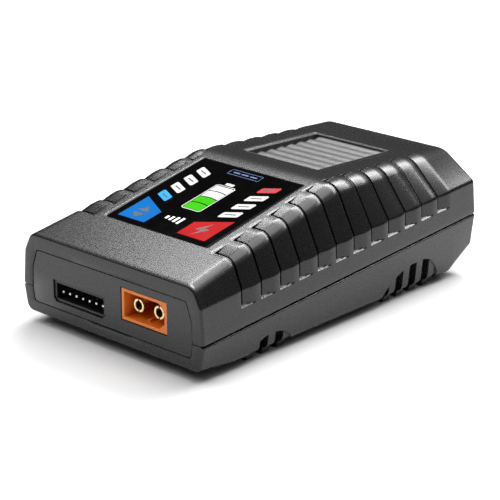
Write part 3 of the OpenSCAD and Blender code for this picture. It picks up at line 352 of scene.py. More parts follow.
def upperHalf(rowY):
    # each row runs from the parting line up the side, round the crease, up the chamfer, round the
    # shoulder and in to the middle; straight parts are shares of a line, bends are arcs
    kinds = np.array([k for k, _ in upperColumns])
    share = np.array([s for _, s in upperColumns], float)
    reach = np.interp(np.arange(len(kinds)), [0, np.argmax(kinds == "ledge"), np.argmax(kinds == "tick"),
                      np.argmax(kinds == "panelEdge") - 1], [0, 0, 1, 0])
    near, over = ribs["endFade"]
    fade = np.clip(np.minimum(rowY - near, law["length"] - near - rowY) / over, 0, 1)
    y = rowY[:, None] + ribs["slant"] * reach[None] * fade[:, None]
    hw, s = law["halfWidth"], splitZ(y) + law["splitGap"] / 2
    pair = lambda x, z: np.stack([x + 0 * y, z + 0 * y], -1)
    p, c = pair(hw, s), pair(hw - law["creaseIn"], creaseZ(y))
    sh = pair(shoulderX(y), topZ(y))
    shoulderR = bends["shoulder"][0] + bends["shoulder"][1] * y
    turned = np.arctan2(topZ(y) - creaseZ(y), hw - law["creaseIn"] - shoulderX(y))
    arcEnd = shoulderX(y) - shoulderR * np.tan(turned / 2)
    tickIn = np.minimum(bends["tickMost"], bends["tick"][0] + bends["tick"][1] * y)
    tickX = np.minimum(hw - tickIn, arcEnd - bends["tickClear"])
    k = pair(tickX, topZ(y))
    w = share[None, :, None] + 0 * y[..., None]
    creaseR = (bends["crease"][0] - bends["crease"][1] * np.clip(y / law["length"], 0, 1))[..., None]
    shoulderR = shoulderR[..., None]
    cornerR, step = law["partingRadius"], [bends["tickStep"], 0]
    e = p + (c - p) * (ribs["footRise"] / (c[..., 1:] - p[..., 1:]))
    creaseIn, creaseArc, creaseOut = (arc(e, c, sh, creaseR, v) for v in (0 * w, w, 0 * w + 1))
    shoulderIn, shoulderArc, shoulderOut = (arc(c, sh, k, shoulderR, v) for v in (0 * w, w, 0 * w + 1))
    lipOut = p + [0, cornerR]
    edgeA, edgeB = pair(panel["halfWidth"] + panel["gap"], topZ(y)), pair(vent["halfWidth"], topZ(y))
    turn = w * np.pi / 2
    places = {
        "lip": p + np.concatenate([cornerR * (np.sin(turn) - 1), cornerR * (1 - np.cos(turn))], -1),
        "side": lipOut + (e - lipOut) * w,
        "ledge": e + [0, 0.05],
        "wall": e + (creaseIn - e) * w,
        "crease": creaseArc,
        "chamfer": creaseOut + (shoulderIn - creaseOut) * w,
        "shoulder": shoulderArc,
        "top": shoulderOut + (k - shoulderOut) * w,
        "tick": k - step * w,
        "deck": k - step + (edgeA - k + step) * w,
        "panelEdge": edgeA + (edgeB - edgeA) * w,
        "middle": edgeB + (pair(0, topZ(y)) - edgeB) * w,
    }
    xz = np.zeros(y.shape + (2,))
    for kind, place in places.items():
        xz[:, kinds == kind] = place[:, kinds == kind]
    # ribs press the surface in along its own normal
    along = np.gradient(xz, axis=1)
    normal = np.stack([along[..., 1], -along[..., 0]], -1)
    normal /= np.linalg.norm(normal, axis=-1, keepdims=True)
    index = np.floor((rowY - ribs["first"]) / ribs["pitch"])
    t = rowY - ribs["first"] - index * ribs["pitch"]
    # the ribs are shallower where they turn over the shoulder
    spread = {"ledge": (1, 1), "wall": (1, 1), "crease": (1, 0.95), "chamfer": (0.95, 0.8),
              "shoulder": (0.8, 0.55), "top": (0.55, 0.5), "tick": (0.08, 0.0)}
    pressed = np.zeros(len(kinds))
    for kind, (a, b) in spread.items():
        on = kinds == kind
        pressed[on] = a + (b - a) * share[on]
    depth, dark = ribDepth(t, index)
    depth = depth[:, None] * pressed[None]
    xz -= normal * depth[..., None]
    # the foot of each rib slopes outwards, more where it is deeper
    xz[..., 1] += 0.55 * depth * (kinds == "ledge")
    # painted shade along each groove, wherever the rib reaches, but not on the ledge
    painted_shade = dark[:, None] * (pressed > 0.1)[None] * (kinds != "ledge")[None]
    return np.stack([xz[..., 0], y, xz[..., 1]], -1), painted_shade


def mirroredBoth(made):
    # the right half and its mirror, joined at the middle column
    half, painted_shade = made
    other = half[:, -2::-1] * [-1, 1, 1]
    return np.concatenate([half, other], 1), np.concatenate([painted_shade, painted_shade[:, -2::-1]], 1)


def upperRows():
    width = ribs["grooveWidth"]
    near = [-0.3, -0.12, 0, 0.03, 0.5, width - 0.01, width + 0.09, width + 0.2,
            2.0, 3.0, 4.0, 4.8, ribs["ramp"], 6.2]
    starts = ribs["first"] + ribs["pitch"] * np.arange(ribs["count"])
    rows = (starts[:, None] + near).ravel()
    plainRows = np.concatenate([[1.5, 3, 5, 7, 9, 11, 12.5], law["length"] - np.array([3, 5, 7, 8.5, 10])])
    rows = np.concatenate([rows[rows < law["length"] - 11], plainRows])
    first, last = ends["frontRadius"], law["length"] - ends["rearRadius"]
    rows = np.concatenate([[first], rows[rows > 2 * first], panelY, ventY, [last]])
    return np.unique(np.round(rows, 4))


upperCase = shell("upper_case", lambda rows: mirroredBoth(upperHalf(rows)), upperRows(),
                  [(-panel["halfWidth"] - panel["gap"], panel["halfWidth"] + panel["gap"], *panelY),
                   (-vent["halfWidth"], vent["halfWidth"], *ventY)])
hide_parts("upper_shell")
print("upper case made,", len(upperCase.data.polygons), "faces")


# lower shell with its fluted arches
arches = [
    {"peak": 25.6, "before": 8.4, "after": 8.4, "height": 6.4, "middle": 26.0, "ribs": 3},
    {"peak": 86.0, "before": 16.5, "after": 8.6, "height": 9.6, "middle": law["length"] - 26.8, "ribs": 4},
]
flute = {"pitch": 5.7, "face": 2.7, "foot": 3.2, "depth": 1.7, "border": 0.3, "lastDepth": 0.35,
         "edge": 0.18, "darkest": 0.6}
bellyR = 2.6


def ribFronts(a):
    return a["middle"] + (np.arange(a["ribs"]) - (a["ribs"] - 1) / 2) * flute["pitch"] - flute["foot"] / 2


def fluteDepth(y, z):
    # inside each arch the side falls away behind every rib and steps out again at the next
    depth = np.zeros(y.shape)
    for a in arches:
        reach = np.where(y < a["peak"], a["before"], a["after"])
        top = a["height"] * np.sqrt(np.clip(1 - ((y - a["peak"]) / reach) ** 2, 0, 1))
        inside = np.clip((top - z) / flute["edge"], 0, 1)
        fronts = ribFronts(a)
        t = np.mod(y - fronts[0], flute["pitch"])
        fall = np.clip((t - flute["face"]) / (flute["pitch"] - flute["face"]), 0, 1)
        last = y > fronts[-1] + flute["face"]
        deep = np.where(last, flute["lastDepth"], flute["depth"] * fall ** 0.8)
        depth = np.maximum(depth, inside * (flute["border"] + deep * (top > 0)))
    return depth


lowerColumns = columnsOf([("lip", np.linspace(0, 1, 4)), ("side", np.linspace(0.03, 1, 46)),
                          ("corner", np.linspace(0.1, 1, 9)), ("belly", [0.06, 0.2, 0.4, 0.7, 1])])


def lowerHalf(rowY):
    # each row runs from the parting line down the side, round the bottom corner and in to the middle
    kinds = np.array([k for k, _ in lowerColumns])
    share = np.array([s for _, s in lowerColumns], float)
    y = rowY[:, None] + 0 * share[None]
    pair = lambda x, z: np.stack([x + 0 * y, z + 0 * y], -1)
    p = pair(law["halfWidth"], splitZ(y) - law["splitGap"] / 2)
    b = pair(law["halfWidth"] - law["sideIn"], bellyZ(y))
    m = pair(0, bellyZ(y))
    w = share[None, :, None] + 0 * y[..., None]
    turn = w * np.pi / 2
    r = law["partingRadius"]
    lipOut = p - [0, r]
    cornerIn, cornerOut = arc(p, b, m, bellyR, 0 * w), arc(p, b, m, bellyR, 0 * w + 1)
    places = {
        "lip": p + np.concatenate([r * (np.sin(turn) - 1), r * (np.cos(turn) - 1)], -1),
        "side": lipOut + (cornerIn - lipOut) * w,
        "corner": arc(p, b, m, bellyR, w),
        "belly": cornerOut + (m - cornerOut) * w,
    }
    xz = np.zeros(y.shape + (2,))
    for kind, place in places.items():
        xz[:, kinds == kind] = place[:, kinds == kind]
    along = np.gradient(xz, axis=1)
    normal = np.stack([-along[..., 1], along[..., 0]], -1)
    normal /= np.linalg.norm(normal, axis=-1, keepdims=True)
    pressed = np.isin(kinds, ["side", "corner"])
    depth = fluteDepth(y, xz[..., 1]) * pressed[None]
    xz -= normal * depth[..., None]
    # painted shade in the flutes where they lie deeper than 0.8 mm, at most the flute's darkest value
    return np.stack([xz[..., 0], y, xz[..., 1]], -1), flute["darkest"] * np.clip(depth - 0.8, 0, 1)


def lowerRows():
    rows = [np.arange(3, law["length"] - 2, 2.4)]
    for a in arches:
        fronts = ribFronts(a)
        rows.append(np.arange(a["peak"] - a["before"] - 0.2, a["peak"] + a["after"] + 0.4, 0.3))
        rows.append((fronts[:, None] + [-0.05, 0.02, 0.2]).ravel())
    first, last = ends["frontRadius"], law["length"] - ends["rearRadius"]
    rows = np.concatenate(rows + [[first, law["noseAt"], law["length"] - law["heelRun"], last]])
    return np.unique(np.round(rows[(rows >= first) & (rows <= last)], 3))


def lowerSection(rows):
    # the half runs down from the parting line, so it is turned round to run as the upper one does
    both, painted_shade = mirroredBoth(lowerHalf(rows))
    return both[:, ::-1], painted_shade[:, ::-1]


lowerCase = shell("lower_case", lowerSection, lowerRows(), [])
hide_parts("lower_shell")
print("lower case made,", len(lowerCase.data.polygons), "faces")


# a foot's outline in x and z, from its own outer edge; it stands this far in from the belly's edge
foot = {"inset": 2.2, "gap": 0.3, "outline": [[-8.5, 0], [-0.3, 0], [0, 0.5], [0.5, 2.2], [0.5, 3.4],
        [-9.5, 3.0], [-9.3, 1.6]]}


def feetMesh():
    # each foot is the foot of a rib, carried straight down to the ground
    outline = np.array(foot["outline"]) + [law["halfWidth"] - law["sideIn"] - foot["inset"], 0]
    parts = []
    for a in arches:
        for y in ribFronts(a) - law["front"]:
            parts.append(prism(outline, y, y + flute["foot"] - foot["gap"]))
            parts.append(prism((outline * [-1, 1])[::-1], y, y + flute["foot"] - foot["gap"]))
    return joined(parts)


feet = makePiece("feet", *feetMesh(), bevel=0.25)
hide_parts("lower_shell")


# louvres
louvres = {"count": 7, "radius": 5.2, "thickness": 0.95, "endRound": 1.3, "inset": 0.75, "drop": 0.55,
           "from": 146, "to": 93, "frame": 0.4, "frameTop": -0.06, "frameFoot": -3.5}


def tilted(points, y0, z0, angle):
    # x stays; y and z turn by angle about the x axis and move to y0 and z0
    c, s = math.cos(angle), math.sin(angle)
    p = np.asarray(points, float)
    return np.stack([p[..., 0], y0 + p[..., 1] * c - p[..., 2] * s, z0 + p[..., 1] * s + p[..., 2] * c], -1)


def onRear(points):
    return tilted(points, law["ridgeAt"] - law["front"], law["ridgeHeight"], -rearFall)


def onSlope(points):
    # panel coordinates: x across, y up the slope from the panel's middle, z out of it
    p = np.asarray(points, float) + [0, panel["start"] + panel["length"] / 2, 0]
    return tilted(p, -law["front"], law["frontHeight"], slope)


def louvreMesh(y):
    # a bowed slat: its section is a thick arc with rounded ends, and it shrinks to a point at both ends
    s = louvres
    turn = np.radians(np.linspace(s["from"], s["to"], 15))
    back = turn[::-1]
    cap = np.linspace(0, np.pi, 7)[1:-1]
    r0, r1 = s["radius"], s["radius"] - s["thickness"]
    rm, rc = (r0 + r1) / 2, s["thickness"] / 2
    tips = [(np.radians(s["to"]), -1), (np.radians(s["from"]), 1)]
    ring = [np.column_stack([r0 * np.cos(turn), r0 * np.sin(turn)])]
    for (a, way), other in zip(tips, (back, None)):
        axis = np.array([math.cos(a), math.sin(a)])
        side = np.array([-math.sin(a), math.cos(a)]) * way
        swing = cap if way < 0 else cap[::-1]
        ring.append(rm * axis + rc * (np.cos(swing)[:, None] * axis + np.sin(swing)[:, None] * side))
        if other is not None:
            ring.append(np.column_stack([r1 * np.cos(other), r1 * np.sin(other)]))
    ring = np.vstack(ring)
    middle = ring.mean(0)
    reach = vent["halfWidth"] - s["inset"]
    t = np.linspace(0, np.pi / 2, 8)
    endX = reach - s["endRound"] * (1 - np.sin(t))
    size = np.concatenate([np.cos(t)[::-1] * 0.98 + 0.02, np.ones(9), np.cos(t) * 0.98 + 0.02])
    x = np.concatenate([-endX[::-1], np.linspace(-1, 1, 11)[1:-1] * (reach - s["endRound"]), endX])
    section = middle + (ring - middle) * size[:, None, None]
    grid = np.concatenate([np.broadcast_to(x[:, None, None], section.shape[:2] + (1,)), section], -1)
    grid[..., 1] += y + 4.5
    grid[..., 2] -= s["drop"] + s["radius"]
    n, m = grid.shape[:2]
    faces = gridFaces(n, m, closed=True).tolist()
    return grid.reshape(-1, 3), faces + [list(range(m))[::-1], list(range((n - 1) * m, n * m))]


def ventMesh():
    pitch = (vent["length"] - 1) / louvres["count"]
    parts = []
    for i in range(louvres["count"]):
        verts, faces = louvreMesh(vent["start"] + 0.5 + i * pitch)
        parts.append((onRear(verts), faces))
    # frame round the slats, just below the rim
    x, y0, y1 = vent["halfWidth"] - 0.02, vent["start"] + 0.02, vent["start"] + vent["length"] - 0.02
    w, z0, z1 = louvres["frame"], louvres["frameFoot"], louvres["frameTop"]
    ringXY = [np.array([[-a, b], [a, b], [a, c], [-a, c]])
              for a, b, c in ((x, y0, y1), (x - w, y0 + w, y1 - w))]
    loops = [(ringXY[0], z0), (ringXY[0], z1), (ringXY[1], z1), (ringXY[1], z0)]
    verts = np.concatenate([np.column_stack([r, np.full(4, z)]) for r, z in loops])
    faces = [[4 * i + j, 4 * i + (j + 1) % 4, 4 * ((i + 1) % 4) + (j + 1) % 4, 4 * ((i + 1) % 4) + j]
             for i in range(4) for j in range(4)]
    parts.append((onRear(verts), faces))
    return joined(parts)


ventPiece = makePiece("vent_louvres", *ventMesh(), sharp=40)
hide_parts("vent_grille")
print("vent made")


# printing on the panel
inkThick = 0.03
lineWidth = 0.16


def flatMesh(outline):
    # a printed film: a flat outline in panel coordinates with a little thickness
    n = len(outline)
    o = np.asarray(outline, float)
    verts = np.concatenate([np.column_stack([o, np.full(n, v)]) for v in (0.0, inkThick)])
    sides = [[j, (j + 1) % n, n + (j + 1) % n, n + j] for j in range(n)]
    return onSlope(verts), [list(range(n))[::-1], list(range(n, 2 * n))] + sides


def stroke(points):
    # a line of even width round through the points, as one flat strip per stretch
    p = np.vstack([points, points[:1]])
    parts = []
    for a, b in zip(p[:-1], p[1:]):
        along = (b - a) / np.linalg.norm(b - a)
        side = np.array([-along[1], along[0]]) * lineWidth / 2
        a, b = a - along * lineWidth / 2, b + along * lineWidth / 2
        parts.append(flatMesh([a - side, b - side, b + side, a + side]))
    return parts


def slanted(cx, cy, w, h, skew):
    # an upright rectangle whose right end is lifted by skew
    return np.array([[cx - w / 2, cy - h / 2 - skew], [cx + w / 2, cy - h / 2 + skew],
                     [cx + w / 2, cy + h / 2 + skew], [cx - w / 2, cy + h / 2 - skew]])


lights = {"x": 11.9, "y": -2.85, "pitch": 5.0, "skew": 0.55, "mark": (2.9, 0.5)}
level = {"half": 3.0, "y": -5.3, "pitch": 3.45, "count": 4, "edge": 0.34}


def levelOutline():
    # thin white line with cut corners round the battery picture
    h, b = level["half"] + level["edge"], level["y"] - level["edge"]
    t = level["y"] + level["count"] * level["pitch"] + 0.1
    return stroke([[-h, b + 0.5], [-h + 0.5, b], [h - 0.5, b], [h, b + 0.5], [h, t - 0.5], [h - 0.5, t],
                   [-h + 0.5, t], [-h, t - 0.5]])


whitePrint = makePiece("print_white", *joined(levelOutline()))
# a plain frame with three bars stands where a mark would be, and four rising bars for a name
marks = {"y": 16.0, "frame": (11.0, 2.5), "bar": (2.4, 0.55), "barX": (-3.1, -0.1, 2.9),
         "nameY": -11.6, "nameBars": ((-2.4, 1.4), (-0.8, 2.0), (0.8, 2.6), (2.4, 3.2)), "nameWidth": 0.8}
frameBar = stroke(slanted(marks["barX"][1], marks["y"], *marks["frame"], 0.0))
bars = [flatMesh(slanted(x, marks["y"], *marks["bar"], 0.0)) for x in marks["barX"]]
bluePrint = makePiece("print_blue", *joined(frameBar + bars))
nameBars = [flatMesh(slanted(x, marks["nameY"], marks["nameWidth"], h, 0.0)) for x, h in marks["nameBars"]]
namePrint = makePiece("print_bars", *joined(nameBars))
darkMarks = [flatMesh(slanted(s * lights["x"], lights["y"] + k * lights["pitch"], *lights["mark"],
                              s * lights["skew"])) for s in (-1, 1) for k in range(level["count"])]
darkPrint = makePiece("print_dark", *joined(darkMarks))
# the two keys carry plain symbols: a pair of arrowheads and a bolt
symbols = {"up": [[-12.9, -12.3], [-8.9, -12.3], [-10.9, -9.7]],
           "down": [[-8.9, -13.3], [-12.9, -13.3], [-10.9, -15.9]],
           "bolt": [[11.9, -8.6], [8.8, -13.0], [10.7, -13.0], [9.6, -16.2], [12.9, -11.7], [11.0, -11.7]]}
arrows = [flatMesh(symbols["up"]), flatMesh(symbols["down"])]
bolt = [flatMesh(symbols["bolt"])]
modePrint = makePiece("print_mode_key", *joined(arrows), body="mode_key")
currentPrint = makePiece("print_current_key", *joined(bolt), body="current_key")
print("printing made")


# materials
def srgb(code):
    c = np.array([int(code[i:i + 2], 16) / 255 for i in (1, 3, 5)])
    return (*np.where(c <= 0.04045, c / 12.92, ((c + 0.055) / 1.055) ** 2.4).tolist(), 1.0)


def add(tree, kind, settings=None, links=None):
    # one node, its settings by attribute or socket, and the links into it
    node = tree.nodes.new(kind)
    for name, value in (settings or {}).items():
        if isinstance(name, str) and hasattr(node, name):
            setattr(node, name, value)
        else:
            node.inputs[name].default_value = value
    for name, source in (links or {}).items():
        tree.links.new(source, node.inputs[name])
    return node


# each finish: colours, roughness range, pattern sizes in mm, bump height in mm and wear on edges
plain = {"metal": 0.0, "ior": 1.5, "blotch": 9.0, "grain": 0.5, "grainHeight": 0.01, "stretch": (1, 1, 1),
         "rough": (0.4, 0.5), "wear": 0.0, "worn": "#9a9a9a", "coat": 0.0, "alpha": 1.0, "glow": 0.0,
         "specular": 0.5}


def makeMaterial(name, finish):
    # colour blotches, a finer grain for roughness and bump, paler worn edges and painted shade in the grooves
    f = {**plain, **finish}
    material = bpy.data.materials.new(name)
    material.use_nodes = True
    tree = material.node_tree
    tree.nodes.clear()
    place = add(tree, "ShaderNodeTexCoord")
    mapped = add(tree, "ShaderNodeMapping", {"Scale": f["stretch"]}, {"Vector": place.outputs["Object"]})
    blotch = add(tree, "ShaderNodeTexNoise", {"Scale": 1 / (f["blotch"] * mm), "Detail": 3.0},
                 {"Vector": mapped.outputs[0]})
    grain = add(tree, "ShaderNodeTexNoise", {"Scale": 1 / (f["grain"] * mm), "Detail": 2.0, "Roughness": 0.6},
                {"Vector": mapped.outputs[0]})
    spread = add(tree, "ShaderNodeMapRange", {"From Min": 0.35, "From Max": 0.65}, {"Value": blotch.outputs[0]})
    colour = add(tree, "ShaderNodeMix", {"data_type": "RGBA", 6: srgb(f["base"]), 7: srgb(f["other"])},
                 {0: spread.outputs[0]})
    shape = add(tree, "ShaderNodeNewGeometry")
    edge = add(tree, "ShaderNodeMapRange", {"From Min": 0.53, "From Max": 0.62, "To Max": f["wear"]},
               {"Value": shape.outputs["Pointiness"]})
    worn = add(tree, "ShaderNodeMix", {"data_type": "RGBA", 7: srgb(f["worn"])},
               {0: edge.outputs[0], 6: colour.outputs[2]})
    # painted shade, near black, deep in the grooves and flutes, on pieces that carry a value for it
    painted_shade = add(tree, "ShaderNodeAttribute", {"attribute_name": "painted_shade"})
    shadedColour = add(tree, "ShaderNodeMix", {"data_type": "RGBA", 7: srgb("#050505")},
                {0: painted_shade.outputs["Fac"], 6: worn.outputs[2]})
    rough = add(tree, "ShaderNodeMapRange", {"From Min": 0.3, "From Max": 0.7, "To Min": f["rough"][0],
                "To Max": f["rough"][1]}, {"Value": grain.outputs[0]})
    bump = add(tree, "ShaderNodeBump", {"Strength": 1.0, "Distance": f["grainHeight"] * mm},
               {"Height": grain.outputs[0]})
    shader = add(tree, "ShaderNodeBsdfPrincipled",
                 {"Metallic": f["metal"], "IOR": f["ior"], "Coat Weight": f["coat"], "Coat Roughness": 0.04,
                  "Alpha": f["alpha"], "Specular IOR Level": f["specular"]},
                 {"Base Color": shadedColour.outputs[2], "Roughness": rough.outputs[0], "Normal": bump.outputs[0]})
    if f["glow"]:
        shader.inputs["Emission Strength"].default_value = f["glow"]
        tree.links.new(colour.outputs[2], shader.inputs["Emission Color"])
    add(tree, "ShaderNodeOutputMaterial", None, {"Surface": shader.outputs[0]})
    return material


# record slot: (material's name, its finish)
finishes = {
    # ABS moulded in a spark-eroded tool: satin, with a soft streak of light on every rounding.
    # Its 0.1 mm grain is drawn at 0.45 mm so that it shows
    "case_plastic": ("ABS_dark_grey_spark_moulded", {"base": "#161617", "other": "#19191a",
          "rough": (0.23, 0.29), "ior": 1.46, "grain": 0.45, "grainHeight": 0.004, "blotch": 14,
          "wear": 0.12, "worn": "#343434"}),
    # the case's ABS with its colour painted paler, standing in for the light the curved slats catch; each slat
    # carries one soft band of light
    "louvre_plastic": ("ABS_satin_moulded_painted_paler", {"base": "#292a2a", "other": "#2f2f30",
          "rough": (0.34, 0.46), "ior": 1.6, "grain": 0.45, "grainHeight": 0.008, "wear": 0.25,
          "worn": "#8a8a8a"}),
    # polyester film printed black on its back: deep black with faint waves in its gloss
    "panel_gloss": ("polyester_film_black_gloss", {"base": "#010101", "other": "#040404",
          "rough": (0.06, 0.1), "grain": 2.5, "grainHeight": 0.001, "ior": 1.12, "specular": 0.3}),
    # the same film printed blue: one even, clean colour
    "button_blue": ("polyester_film_blue_printed", {"base": "#0f5a9c", "other": "#1360a3", "ior": 1.08,
          "specular": 0.2, "rough": (0.12, 0.18), "grainHeight": 0.004}),
    # the same film printed red
    "button_red": ("polyester_film_red_printed", {"base": "#9e2022", "other": "#a62426", "ior": 1.08,
          "specular": 0.2, "rough": (0.12, 0.18), "grainHeight": 0.004}),
    # acrylic light pipes: the lit ones glow a little
    "light_blue": ("acrylic_blue_lit", {"base": "#1f86c4", "other": "#2690cc", "ior": 1.15,
          "specular": 0.3, "rough": (0.25, 0.35), "glow": 0.1}),
    # the same, lit red and a shade dimmer
    "light_red": ("acrylic_red_lit", {"base": "#a8282c", "other": "#b02c30", "ior": 1.15,
          "specular": 0.3, "rough": (0.25, 0.35), "glow": 0.06}),
    # the same, lit green
    "light_green": ("acrylic_green_lit", {"base": "#309c08", "other": "#36a40a", "ior": 1.08,
          "specular": 0.2, "rough": (0.25, 0.35), "glow": 0.1}),
    # milky acrylic: a soft even white
    "light_white": ("acrylic_milky_white", {"base": "#c0c0be", "other": "#c8c8c6", "rough": (0.3, 0.4),
          "ior": 1.08, "specular": 0.2, "glow": 0.1}),
    # moulded nylon: dull black, slightly mottled
    "black_plastic": ("nylon_black_moulded", {"base": "#0c0c0d", "other": "#131314",
          "rough": (0.4, 0.55)}),
    # moulded nylon: satin orange, paler where plugs rub its edges
    "orange_nylon": ("nylon_orange_moulded", {"base": "#dd6a12", "other": "#e6761c",
          "rough": (0.36, 0.48), "grain": 0.6, "wear": 0.2, "worn": "#f0a050"}),
    # turned brass, gold plated: pale gold with a soft haze
    "gold": ("brass_gold_plated_turned", {"base": "#e6d9a8", "other": "#d8c48a", "metal": 1.0,
          "rough": (0.16, 0.3), "grain": 0.3, "grainHeight": 0.003}),
    # stamped brass, tin plated: bright grey, a little milky
    "tin": ("brass_tin_plated_stamped", {"base": "#d9d9d6", "other": "#c8c8c4", "metal": 1.0,
          "rough": (0.22, 0.36), "grainHeight": 0.004}),
    # steel, zinc plated: grey with a dull sheen
    "screw_steel": ("steel_zinc_plated", {"base": "#b6b6b8", "other": "#a2a2a6", "metal": 1.0,
          "rough": (0.3, 0.45)}),
    # steel, black oxide: near black with an oily sheen
    "screw_black": ("steel_black_oxide", {"base": "#232323", "other": "#2c2b2a", "metal": 0.8,
          "rough": (0.35, 0.5)}),
    # glass laminate under green lacquer: uneven green below a clear gloss
    "board_green": ("glass_laminate_green_mask", {"base": "#14613a", "other": "#1a6e42",
          "rough": (0.25, 0.4), "coat": 0.3}),
    # insulating polyester sheet: milky and matt
    "paper_sheet": ("polyester_sheet_milky", {"base": "#c9c9c2", "other": "#d2d2cb", "rough": (0.5, 0.6)}),
    # flat cable: grain drawn out along its wires
    "cable_film": ("flat_cable_film", {"base": "#cfcab6", "other": "#dad5c2", "rough": (0.3, 0.4),
          "stretch": (4, 0.2, 0.2), "grain": 1.2}),
    # moulded nylon: matt, warm white
    "socket_plastic": ("nylon_ivory_moulded", {"base": "#e2dcc8", "other": "#eae5d4",
          "rough": (0.4, 0.55)}),
    # epoxy-filled box: smooth yellow satin
    "film_capacitor": ("epoxy_box_yellow", {"base": "#dfb12e", "other": "#e6bb3c", "rough": (0.3, 0.42)}),
    # sintered ferrite: charcoal, matt and finely pitted
    "ferrite": ("ferrite_sintered", {"base": "#2f3235", "other": "#3a3d40", "rough": (0.5, 0.65),
          "grain": 0.3}),
    # pressed iron powder under paint: olive, slightly uneven
    "iron_powder": ("iron_powder_core_painted", {"base": "#56653a", "other": "#61703f",
          "rough": (0.35, 0.5)}),
    # enamelled wire, wound: warm metal with fine ridges
    "copper_wire": ("copper_wire_enamelled", {"base": "#b5612a", "other": "#c87238", "metal": 0.9,
          "rough": (0.25, 0.4), "grain": 0.5, "grainHeight": 0.12, "stretch": (1, 1, 5)}),
    # polyester tape: amber and shiny
    "winding_tape": ("polyester_tape_amber", {"base": "#d89c22", "other": "#e2aa30",
          "rough": (0.2, 0.32)}),
    # heat-shrunk sleeve: navy with a gentle gloss
    "capacitor_sleeve": ("shrunk_sleeve_navy", {"base": "#1c2130", "other": "#232939",
          "rough": (0.22, 0.34)}),
    # extruded aluminium: silver with drawn-out streaks
    "bare_aluminium": ("aluminium_extruded", {"base": "#b4b7ba", "other": "#c1c4c7", "metal": 1.0,
          "rough": (0.28, 0.42), "stretch": (6, 0.3, 6), "grain": 0.8}),
    # drawn glass: clear, with sharp reflections
    "fuse_glass": ("glass_tube_clear", {"base": "#e6eef2", "other": "#eef4f6", "rough": (0.03, 0.06),
          "grainHeight": 0.0005, "alpha": 0.35}),
    # sintered bronze: brown-gold, matt and porous
    "bronze": ("bronze_sintered", {"base": "#a4773a", "other": "#b58648", "metal": 1.0,
          "rough": (0.4, 0.55)}),
    # ground steel: bright, nearly a mirror
    "shaft_steel": ("steel_ground", {"base": "#c6c6c8", "other": "#d2d2d4", "metal": 1.0,
          "rough": (0.12, 0.22), "grainHeight": 0.001}),
    # extruded silicone: soft matt red
    "lead_red": ("silicone_wire_red", {"base": "#a81f26", "other": "#b5272e", "rough": (0.4, 0.55)}),
    # silicone over a lamp die: smooth yellow
    "lamp_yellow": ("lamp_silicone_yellow", {"base": "#ecdf9c", "other": "#f4e9ae", "rough": (0.2, 0.3)}),
}
# screened inks: thin flat colour on the film; the white, pale and blue inks also glow a little, a painted glow
# that no lamp gives. Each has a name, the record's slot and a finish
inks = {
    "print_white": ("ink_white_screened", "panel_gloss", {"base": "#e8e8e6", "other": "#f0f0ee",
          "glow": 0.15}),
    "print_bars": ("ink_pale_screened", "panel_gloss", {"base": "#f0f0ee", "other": "#e8e8e6",
          "glow": 0.15}),
    "print_blue": ("ink_blue_screened", "panel_gloss", {"base": "#27457c", "other": "#2c4c88",
          "glow": 0.05}),
    "print_dark": ("ink_black_screened", "panel_gloss", {"base": "#141414", "other": "#1c1c1c"}),
    "print_mode_key": ("ink_navy_screened", "button_blue", {"base": "#10243c", "other": "#142a46"}),
    "print_current_key": ("ink_maroon_screened", "button_red", {"base": "#4a0d10", "other": "#551215"}),
}
bySlot = {slot: makeMaterial(*made) for slot, made in finishes.items()}
slotOf = {s["node"]: s["material_slot"] for s in frame["record"]["subparts"]}
# how far each visible CAD node's edges are rounded, in mm
edges = {"front_plate": 0.12, "rear_plate": 0.12, "display_overlay": 0.05, "mode_button": 0.07,
         "current_button": 0.07, "output_housing": 0.14, "balance_housing": 0.08, "output_pins": 0.12,
         "balance_pins": 0.1, "inlet_housing": 0.2, "inlet_pins": 0.2}
for node, piece in frame["nodes"].items():
    piece.data.materials.clear()
    piece.data.materials.append(bySlot[slotOf[node]])
    if node in edges:
        copy = roundedCopy(node, edges[node])
for piece, slot in ((upperCase, "case_plastic"), (lowerCase, "case_plastic"), (feet, "case_plastic"),
                    (ventPiece, "louvre_plastic")):
    piece.data.materials.append(bySlot[slot])
for piece in (whitePrint, namePrint, bluePrint, darkPrint, modePrint, currentPrint):
    name, slot, finish = inks[piece.name]
    piece.data.materials.append(makeMaterial(name, finish))
print("materials made:", len(bySlot) + len(inks))


# floor, light and camera
# sky: brightness at each height (sine of the elevation)
studio = {"floorSize": 12.0, "aim": (0, 0, 0.02),
          "sky": [(0.0, 0.04), (0.45, 0.05), (0.6, 0.15), (0.68, 0.5), (0.85, 0.6)]}
# each lamp: place and size in metres, and power in watts
lamps = {"softbox_overhead": ((0.0, 0.1, 0.8), (0.8, 0.8), 6),
         "softbox_behind": ((-0.15, 0.62, 0.78), (1.4, 0.16), 14),
         "fill_front": ((-0.5, -0.5, 0.8), (0.6, 0.6), 2)}


def makeFloor():
    half = studio["floorSize"] / 2
    mesh = bpy.data.meshes.new("floor")
    corners = [(-half, -half, 0), (half, -half, 0), (half, half, 0), (-half, half, 0)]
    mesh.from_pydata(corners, [], [(0, 1, 2, 3)])
    floor = bpy.data.objects.new("floor", mesh)
    bpy.context.scene.collection.objects.link(floor)
    mesh.materials.append(makeMaterial("paper_white_backdrop", {"base": "#e6e6e6", "other": "#e8e8e8",
                          "rough": (0.9, 0.95), "blotch": 90, "grainHeight": 0.0, "ior": 1.01}))


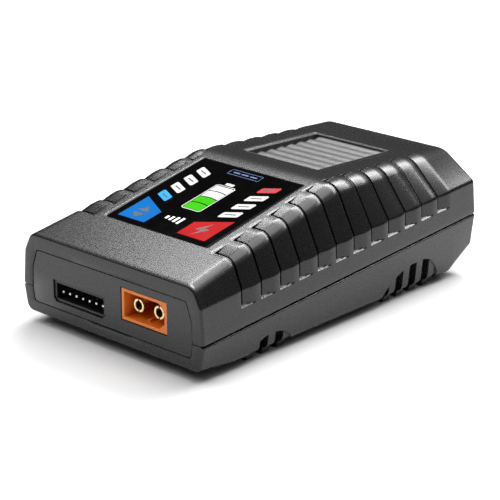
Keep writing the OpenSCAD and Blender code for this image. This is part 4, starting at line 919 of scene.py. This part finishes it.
def makeSky():
    # a dome that is dim near the horizon and bright overhead, as a studio tent is
    world = bpy.data.worlds.new("studio")
    bpy.context.scene.world = world
    world.use_nodes = True
    tree = world.node_tree
    tree.nodes.clear()
    place = add(tree, "ShaderNodeTexCoord")
    parts = add(tree, "ShaderNodeSeparateXYZ", None, {"Vector": place.outputs["Generated"]})
    ramp = add(tree, "ShaderNodeValToRGB", None, {0: parts.outputs["Z"]})
    stops = ramp.color_ramp.elements
    for at, value in studio["sky"]:
        stop = stops.new(at) if at else stops[0]
        stop.color = (value / 2, value / 2, value / 2, 1)
    stops[-1].color = (studio["sky"][-1][1] / 2,) * 3 + (1,)
    sky = add(tree, "ShaderNodeBackground", {"Strength": 2.0}, {"Color": ramp.outputs["Color"]})
    add(tree, "ShaderNodeOutputWorld", None, {"Surface": sky.outputs[0]})


def makeLamp(name, place, size, power):
    lamp = bpy.data.lights.new(name, "AREA")
    lamp.shape, lamp.size, lamp.size_y, lamp.energy = "ELLIPSE", *size, power
    holder = bpy.data.objects.new(name, lamp)
    bpy.context.scene.collection.objects.link(holder)
    holder.location = place
    holder.rotation_mode = "QUATERNION"
    holder.rotation_quaternion = (Vector(studio["aim"]) - Vector(place)).to_track_quat("-Z", "Y")


view = {"azimuth": 42.76, "elevation": 19.77, "distance": 0.4927, "target": (-0.00252, -0.0001, 0.01221),
        "lens": 129.8}


def makeCamera():
    a, e = math.radians(view["azimuth"]), math.radians(view["elevation"])
    back = Vector((math.sin(a) * math.cos(e), -math.cos(a) * math.cos(e), math.sin(e)))
    camera = bpy.data.objects.new("camera", bpy.data.cameras.new("camera"))
    bpy.context.scene.collection.objects.link(camera)
    camera.data.lens, camera.data.sensor_width = view["lens"], 36.0
    camera.data.clip_start, camera.data.clip_end = 0.01, 50
    camera.location = Vector(view["target"]) + back * view["distance"]
    camera.rotation_mode = "QUATERNION"
    camera.rotation_quaternion = (-back).to_track_quat("-Z", "Y")
    bpy.context.scene.camera = camera


makeFloor()
makeSky()
for name, settings in lamps.items():
    makeLamp(name, *settings)
makeCamera()
bpy.context.scene.view_settings.view_transform = "Standard"
print("stage made")
